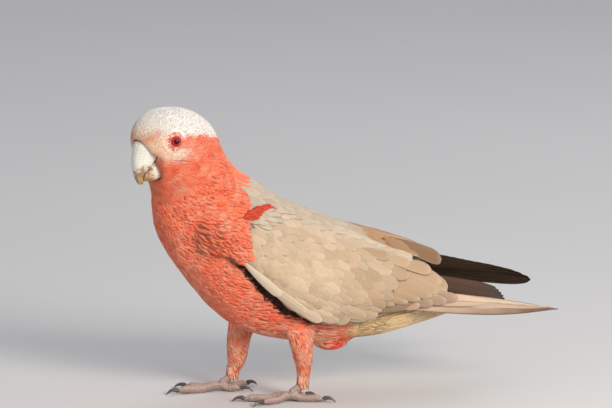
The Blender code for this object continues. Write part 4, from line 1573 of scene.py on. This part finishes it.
def ring_on_head(eye, axis, skin_tree, name, look):
    """The bare, warty skin round an eye: its lid rests on the eyeball, its skirt on the head."""
    up = (HEAD_UP - axis * HEAD_UP.dot(axis)).normalized()
    ahead = axis.cross(up)
    if ahead.dot(HEAD_FORWARD) < 0:
        ahead = -ahead
    draw = np.random.default_rng(WART_SEED)
    warts = []
    while len(warts) < 330:
        turn, radius = draw.uniform(0, math.tau), 4.1 + 7.2 * draw.random() ** 1.4
        warts.append((math.cos(turn) * radius, math.sin(turn) * radius))
    warts = np.array(warts)
    turns, steps = np.linspace(0, math.tau, 120, endpoint=False), np.linspace(0, 1, 26)
    bm = bmesh.new()
    rows, marks = [], []
    lid, foot = 3.62, 6.6
    for share in steps:
        ring = []
        for turn in turns:
            toward = ahead * math.cos(turn) + up * math.sin(turn)
            lobe = 4.2 * max(math.cos(turn + 0.45), 0) ** 2
            uneven = 1 + 0.07 * math.sin(3 * turn + 1) + 0.05 * math.sin(7 * turn)
            radius = lid + (2.9 + lobe) * uneven * share
            ball = math.sqrt((EYE_RADIUS / MM) ** 2 - lid**2) + 0.12
            hit = skin_tree.ray_cast(eye + toward * max(radius, foot) * MM + axis * 20 * MM, -axis)[0]
            skin = (hit - eye).dot(axis) / MM if hit is not None else 0.0
            blend = min((radius - lid) / (foot - lid), 1.0)
            height = ball * (1 - blend) + skin * blend
            rim = 0.45 * math.sin(math.pi * min((radius - lid) / 1.3, 1.0)) if radius < lid + 1.3 else 0.0
            height += rim + 0.45 * float(ramp(radius, lid + 0.4, lid + 1.6)) * (1 - 0.55 * share)
            flat = np.array([math.cos(turn), math.sin(turn)]) * radius
            near = np.linalg.norm(warts - flat, axis=1).min()
            wart = math.exp(-((near / 0.34) ** 2)) * float(ramp(radius, lid + 0.4, lid + 0.8))
            height += 0.28 * wart - (1.0 if share > 0.99 else 0.0)
            ring.append(bm.verts.new(eye + (toward * radius + axis * height) * MM))
            marks.append(max(wart, 1 - float(ramp(radius, lid + 0.15, lid + 0.6))))
        rows.append(ring)
    bridge(bm, rows, ends=False)
    mesh = smooth_mesh(bm, name)
    if mesh.polygons[len(turns) * 8].normal.dot(axis) < 0:
        mesh.flip_normals()
    put(mesh, "wart", marks)
    made = new_object(name, mesh)
    wall = made.modifiers.new("wall", "SOLIDIFY")
    wall.thickness, wall.offset = 0.4 * MM, -1.0
    evaluated(made)
    paint(made, look)
    return made


def eyeball(name, eye, axis, look):
    """A ball with a clear bulge in front; its attribute ring is the distance from the axis in millimetres."""
    bm = bmesh.new()
    bmesh.ops.create_uvsphere(bm, u_segments=64, v_segments=40, radius=EYE_RADIUS)
    turn = axis.to_track_quat("Z", "Y").to_matrix().to_4x4()
    rings = []
    for vertex in bm.verts:
        ring = math.hypot(vertex.co.x, vertex.co.y) / MM
        if vertex.co.z > 0:
            vertex.co.z += 0.45 * MM * math.exp(-((ring / 3.0) ** 2))
        rings.append(ring if vertex.co.z > 0 else 9.0)
    bmesh.ops.transform(bm, matrix=Matrix.Translation(eye) @ turn, verts=bm.verts)
    mesh = smooth_mesh(bm, name)
    put(mesh, "ring", rings)
    made = new_object(name, mesh)
    paint(made, look)
    return made


def face(skin):
    """The bill's horn and the eyes with their rings of bare skin."""
    whole = bmesh.new()
    whole.from_mesh(skin.data)
    skin_tree = BVHTree.FromBMesh(whole)
    whole.free()
    bill_look = bill_finish()
    horn("bill_upper_horn", "bill_upper", 0.42, 18, bill_look)
    horn("bill_lower_horn", "bill_lower", 0.42, 14, bill_look)
    ball_look, ring_look = eye_finish(), ring_finish()
    for name, eye in (("left", EYE_LEFT), ("right", EYE_RIGHT)):
        side = SIDES[name]
        axis = (HEAD_LEFT * side * 0.88 + HEAD_FORWARD * 0.44 + HEAD_UP * 0.10).normalized()
        ball = eyeball("eye_" + name + "_ball", eye, axis, ball_look)
        ring = ring_on_head(eye, axis, skin_tree, "eye_" + name + "_ring", ring_look)
        for piece in (ball, ring):
            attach(piece, "root")
            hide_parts("eye_" + name)


# Each leg's thigh end, heel and foot, and its toes: heading from straight ahead and length.
LEGS = {
    "left": {
        "end": (25, 3.2, 13, 5.4, 5.4),
        "heel": (25, 4, 12.5),
        "foot": (25, -8, 4.2),
        "heading": 4,
    },
    "right": {
        "end": (-24, -36.3, 12, 5.4, 5.2),
        "heel": (-24, -36, 11.5),
        "foot": (-24, -47, 4.2),
        "heading": -6,
    },
}
TOES = ((-14, 31.0), (24, 24.0), (152, 25.0), (-160, 16.0))


def on_floor(place):
    """A place of the solids' own frame, in millimetres, as a place in the row frame."""
    return Vector((place[0] + 0.82, place[1] + BEHIND, place[2])) * MM


def shank(name, plan):
    """The bare leg's upper end, from inside the thigh's feathers to the foot."""
    heel, foot = on_floor(plan["heel"]), on_floor(plan["foot"])
    points = [heel + Vector((0, 0.5, 4.5)) * MM, heel, heel.lerp(foot, 0.35), heel.lerp(foot, 0.7), foot]
    bm = bmesh.new()
    rows = []
    for number, (point, radius) in enumerate(zip(points, (2.6, 3.3, 3.0, 3.0, 3.6))):
        ahead = (points[min(number + 1, 4)] - points[max(number - 1, 0)]).normalized()
        turn = ahead.to_track_quat("Z", "X")
        ring = []
        for k in range(16):
            angle = math.tau * k / 16
            spoke = turn @ Vector((math.cos(angle), math.sin(angle), 0))
            ring.append(bm.verts.new(point + spoke * radius * MM))
        rows.append(ring)
    bridge(bm, rows)
    return smooth_mesh(bm, name)


def scuted(mesh, plan, name):
    """Raises the rings of horny plates along the toes' tops and the shank's front."""
    foot, heel = on_floor(plan["foot"]), on_floor(plan["heel"])
    places, normals = vertices(mesh), vertex_normals(mesh)
    lines = [(heel, foot)]
    for heading, length in TOES:
        turn = math.radians((heading if name == "left" else -heading) + plan["heading"])
        way = Vector((math.sin(turn), -math.cos(turn), 0))
        lines.append((foot, foot + way * length * MM))
    best, run = np.full(len(places), 1e9), np.zeros(len(places))
    pull, axis = np.zeros(len(places)), places.copy()
    for start, end in lines:
        start, span = np.array(start), np.array(end - start)
        share = np.clip(((places - start) @ span) / (span @ span), 0, 1)
        away = np.linalg.norm(places - start - share[:, None] * span, axis=1)
        nearer = away < best
        length = np.linalg.norm(span) / MM
        run = np.where(nearer, share * length, run)
        pull = np.where(nearer, 0.42 * ramp(share * length, length - 4.0, length - 0.5), pull)
        axis = np.where(nearer[:, None], start + share[:, None] * span, axis)
        best = np.minimum(best, away)
    pull = np.where(np.abs(run) < 6, 0, pull)
    axis[:, 2] = np.minimum(axis[:, 2], 2.2 * MM)
    places = places + (axis - places) * pull[:, None]
    ring = np.abs(np.sin(math.pi * run / 1.9)) ** 0.6
    top = ramp(normals[:, 2], -0.1, 0.5)
    move_vertices(mesh, places + normals * ((ring - 0.6) * 0.28 * top)[:, None] * MM)
    put(mesh, "plate", ring * top)


def fringe_of(plan, draw):
    """Loose feathers that hang from the thigh's end over the bare leg."""
    roots = Roots()
    x, y, z, half_length, half_width = plan["end"]
    for level in range(3):
        for k in range(44):
            turn = math.tau * (k + draw.uniform(-0.4, 0.4)) / 44
            out = Vector((math.cos(turn), math.sin(turn), 0))
            wide = 0.2 * level - 0.8
            place = (x + out.x * (half_width + wide), y + out.y * (half_length + wide), z + 1.5 + 2.2 * level)
            hanging = Vector((-out.x * 0.12, -out.y * 0.12 - 0.06, -1))
            lie = (hanging + Vector(draw.normal(0, 0.05, 3))).normalized()
            face = squared(out, np.array(lie))
            tint = mix(CORAL_PALE, FRINGE_PALE, draw.random())
            length = draw.uniform(5.0, 7.0) + 0.8 * level
            roots.add(on_floor(place), lie, face, length, 2.0, base=-0.4, bow=-0.3, hug=0, tint=tint)
    return roots


def leg_skin(name, plan):
    """A foot's solid and its bare shank as one smooth skin with raised plates."""
    foot = joined_copy("foot_" + name + "_skin", ("foot_" + name,))
    bm = bmesh.new()
    bm.from_mesh(foot.data)
    bm.from_mesh(shank("shank", plan))
    bm.to_mesh(foot.data)
    bm.free()
    grid = foot.modifiers.new("grid", "REMESH")
    grid.mode, grid.voxel_size = "VOXEL", 0.5 * MM
    smooth = foot.modifiers.new("smooth", "SMOOTH")
    smooth.iterations = 12
    evaluated(foot)
    scuted(foot.data, plan, name)
    foot.data.shade_smooth()
    return foot


def legs(fine_look):
    """The bare legs and feet with their plates, the claws, and the fringe that hangs from the thighs."""
    look, nail_look = foot_finish(), claw_finish()
    fine = vane_mesh("fine_vane", rounded(0.62, 5, blunt=0.75, root=0.4), 2, 0.02)
    tree = feather_tree("leg_feathers", scatter=False)
    for name, plan in LEGS.items():
        foot = leg_skin(name, plan)
        paint(foot, look)
        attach(foot, "root")
        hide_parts("foot_" + name)
        for number in range(1, 5):
            node = f"claw_{name}_{number}"
            horn(node + "_horn", node, 0.28, 2, nail_look)
        roots = fringe_of(plan, np.random.default_rng(FRINGE_SEED))
        settings = feather_settings(fine, fine_look, 7, 0.2, 0.15)
        guide = new_object("guide", foot.data)
        piece = planted("coat_fringe_" + name, roots, tree, settings, guide)
        bpy.data.objects.remove(guide)
        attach(piece, "root")
    bpy.data.objects.remove(fine)


# ---------------------------------------------------------------- the other finishes


def flight_finish(name, tip_from, tip_to):
    """A long feather: its colour runs from tint to tip_tint, with a dark shaft and barbs."""
    made = Finish(name, 0.6, Specular_IOR_Level=0.10)
    off, along, slant = vane_places(made, 0.05)
    wander = made.maths("MULTIPLY", made.noise(300.0, 2.0), 0.012)
    lines = made.maths("SINE", made.maths("MULTIPLY", made.maths("ADD", slant, wander), 620.0))
    tint = made.attribute("tint").outputs["Color"]
    tip = made.attribute("tip_tint").outputs["Color"]
    patchy = made.maths("MULTIPLY", made.noise(90.0, 3.0), 0.3)
    share = made.span(made.maths("ADD", along, patchy), tip_from, tip_to)
    colour = made.blend(share, tint, tip)
    dark = made.times(colour, (0.62, 0.60, 0.60))
    colour = made.blend(made.span(lines, -1.0, 1.0, 0.0, 0.25), colour, dark)
    rim = made.maths("MULTIPLY", made.span(off, 0.80, 0.98), 0.25)
    colour = made.blend(rim, colour, made.blend(0.15, colour, (0.60, 0.46, 0.36)))
    line = made.span(off, 0.0, 0.09, 0.7, 0.0)
    colour = made.blend(line, colour, (0.11, 0.07, 0.05))
    made.colour(colour)
    made.bump(lines, 0.05)
    return made.material


def bill_finish():
    """Pale horn with faint growth lines, a brown stain near the cutting edges and a yellowish tip."""
    made = Finish("bill_horn", 0.38, Subsurface_Weight=0.15, Subsurface_Radius=(0.002, 0.0012, 0.0008))
    middle_place = on_head(4, 30.5, -17.5)
    place = made.place()
    away = made.add("ShaderNodeVectorMath", {"operation": "DISTANCE"}, _0=place, _1=tuple(middle_place))
    near = made.span(away.outputs["Value"], 0.002, 0.0095, 1.0, 0.0)
    cloud = made.noise(330.0, 4.0)
    cloud = made.maths("ADD", cloud, made.maths("MULTIPLY", near, 0.25))
    stain = made.maths("MULTIPLY", made.span(near, 0.0, 0.3), made.span(cloud, 0.50, 0.68, 0.0, 0.9))
    lines = made.add("ShaderNodeTexWave", {"bands_direction": "Z"}, Scale=150.0, Distortion=2.5, Detail=2.0)
    made.join(place, lines.inputs["Vector"])
    pale = made.blend(made.noise(160.0, 3.0), (0.72, 0.70, 0.62), (0.60, 0.585, 0.52))
    pale = made.blend(made.maths("MULTIPLY", lines.outputs["Fac"], 0.25), pale, (0.50, 0.48, 0.42))
    low = made.add("ShaderNodeSeparateXYZ", Vector=place)
    tip_from, tip_to = on_head(0, 30, -14).z, on_head(0, 30, -25).z
    pale = made.blend(made.span(low.outputs["Z"], tip_to, tip_from, 0.9, 0.0), pale, (0.62, 0.42, 0.16))
    made.colour(made.blend(stain, pale, (0.26, 0.12, 0.03)))
    made.bump(made.maths("ADD", lines.outputs["Fac"], made.noise(500.0, 3.0)), 0.06)
    return made.material


def eye_finish():
    """Black pupil, crimson iris with fine rays and a dark rim."""
    made = Finish("eye_wet", 0.12, Coat_Weight=0.22, Coat_Roughness=0.03, Specular_IOR_Level=0.15)
    ring = made.attribute("ring").outputs["Fac"]
    iris = made.blend(made.span(ring, 1.9, 3.4), (0.42, 0.012, 0.012), (0.62, 0.03, 0.03))
    iris = made.blend(made.span(made.noise(1500.0, 3.0), 0.4, 0.7), iris, (0.30, 0.008, 0.010))
    colour = made.blend(made.span(ring, 1.75, 1.95), (0.002, 0.002, 0.002), iris)
    made.colour(made.blend(made.span(ring, 3.3, 3.8), colour, (0.03, 0.008, 0.008)))
    return made.material


def ring_finish():
    """Pale peach skin with red warts and a dark red lid."""
    made = Finish("eye_ring_skin", 0.5, Subsurface_Weight=0.1, Subsurface_Radius=(0.001, 0.0005, 0.0004))
    wart = made.attribute("wart").outputs["Fac"]
    pale = made.blend(made.noise(300.0, 2.0), (0.80, 0.50, 0.38), (0.70, 0.36, 0.26))
    made.colour(made.blend(made.span(wart, 0.15, 0.6), pale, (0.30, 0.055, 0.045)))
    made.bump(made.noise(1500.0, 3.0), 0.08)
    return made.material


def foot_finish():
    """Grey pink leg skin in small scales."""
    made = Finish("foot_skin", 0.6)
    cells = made.add("ShaderNodeTexVoronoi", {"feature": "DISTANCE_TO_EDGE"}, Scale=620.0)
    made.join(made.place(), cells.inputs["Vector"])
    crease = made.span(cells.outputs["Distance"], 0.0, 0.10, 1.0, 0.0)
    pale = made.blend(made.noise(120.0, 3.0), (0.50, 0.36, 0.31), (0.38, 0.28, 0.25))
    plate = made.attribute("plate").outputs["Fac"]
    pale = made.blend(made.span(plate, 0.2, 0.8, 0.45, 0.0), pale, (0.20, 0.13, 0.12))
    crease = made.maths("MULTIPLY", crease, made.span(plate, 0.3, 0.9, 0.8, 0.25))
    made.colour(made.blend(crease, pale, (0.15, 0.10, 0.09)))
    made.bump(made.span(cells.outputs["Distance"], 0.0, 0.25), 0.30)
    return made.material


def claw_finish():
    """Nearly black horn with faint grey streaks."""
    made = Finish("claw_horn", 0.3)
    streak = made.noise(500.0, 3.0)
    made.colour(made.blend(streak, (0.035, 0.030, 0.030), (0.10, 0.085, 0.08)))
    made.bump(streak, 0.05)
    return made.material


# ---------------------------------------------------------------- stage


def stage():
    """A pale floor and soft light."""
    bm = bmesh.new()
    bmesh.ops.create_grid(bm, x_segments=1, y_segments=1, size=6.0)
    floor = new_object("floor", smooth_mesh(bm, "floor"))
    look = Finish("floor_paint", 0.9)
    look.colour(look.blend(look.noise(3.0), (0.58, 0.575, 0.57), (0.61, 0.605, 0.60)))
    paint(floor, look.material)

    world = bpy.data.worlds.new("studio")
    world.use_nodes = True
    sky = world.node_tree.nodes["Background"].inputs
    sky["Color"].default_value = (0.93, 0.95, 1.0, 1)
    sky["Strength"].default_value = 0.55
    bpy.context.scene.world = world

    def lamp(name, place, size, power, colour=(1, 1, 1)):
        light = bpy.data.lights.new(name, "AREA")
        light.size, light.energy, light.color = size, power, colour
        made = bpy.data.objects.new(name, light)
        bpy.context.scene.collection.objects.link(made)
        made.location = place
        aim = Vector((0, 0, 0.11)) - Vector(place)
        made.rotation_mode = "QUATERNION"
        made.rotation_quaternion = aim.to_track_quat("-Z", "Y")

    lamp("key", (1.5, 0.5, 0.8), 0.6, 32.0, (1.0, 0.93, 0.84))
    lamp("fill", (1.3, -1.2, 0.8), 1.6, 3.5, (1.0, 0.97, 0.93))
    lamp("rim", (-0.9, 0.9, 1.6), 1.0, 8.0, (0.95, 0.95, 1.0))


CAMERA_AZIMUTH, CAMERA_ELEVATION, CAMERA_AWAY = math.radians(75), math.radians(10), 5.0
FRAME_WIDTH = 440.64 * MM  # how much the camera takes in from side to side, at the bird


def camera():
    """Looks at the bird's left side, a little from in front of it and from above."""
    data = bpy.data.cameras.new("camera")
    made = bpy.data.objects.new("camera", data)
    bpy.context.scene.collection.objects.link(made)
    bpy.context.scene.camera = made
    sin_a, cos_a = math.sin(CAMERA_AZIMUTH), math.cos(CAMERA_AZIMUTH)
    sin_e, cos_e = math.sin(CAMERA_ELEVATION), math.cos(CAMERA_ELEVATION)
    back = Vector((sin_a * cos_e, -cos_a * cos_e, sin_e))
    right, up = Vector((cos_a, sin_a, 0)), Vector((-sin_a * sin_e, cos_a * sin_e, cos_e))
    aim = Vector((0.82, BEHIND, 0)) * MM + right * 11.52 * MM + up * 136.8 * MM
    made.location = aim + back * CAMERA_AWAY
    made.rotation_mode = "QUATERNION"
    made.rotation_quaternion = (-back).to_track_quat("-Z", "Y")
    data.sensor_width = 36
    data.lens = data.sensor_width * CAMERA_AWAY / FRAME_WIDTH
    data.clip_start, data.clip_end = 0.05, 50


def main():
    bpy.context.scene.view_settings.view_transform = "Standard"
    camera()
    stage()
    skin = make_skin()
    fine_look = coat(skin)
    base_look = skin_finish()
    paint(skin, base_look)
    wings_and_tail(base_look, fine_look, mesh_tree(skin.data))
    face(skin)
    legs(fine_look)
    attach(skin, "root")
    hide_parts(*FLESH)


main()
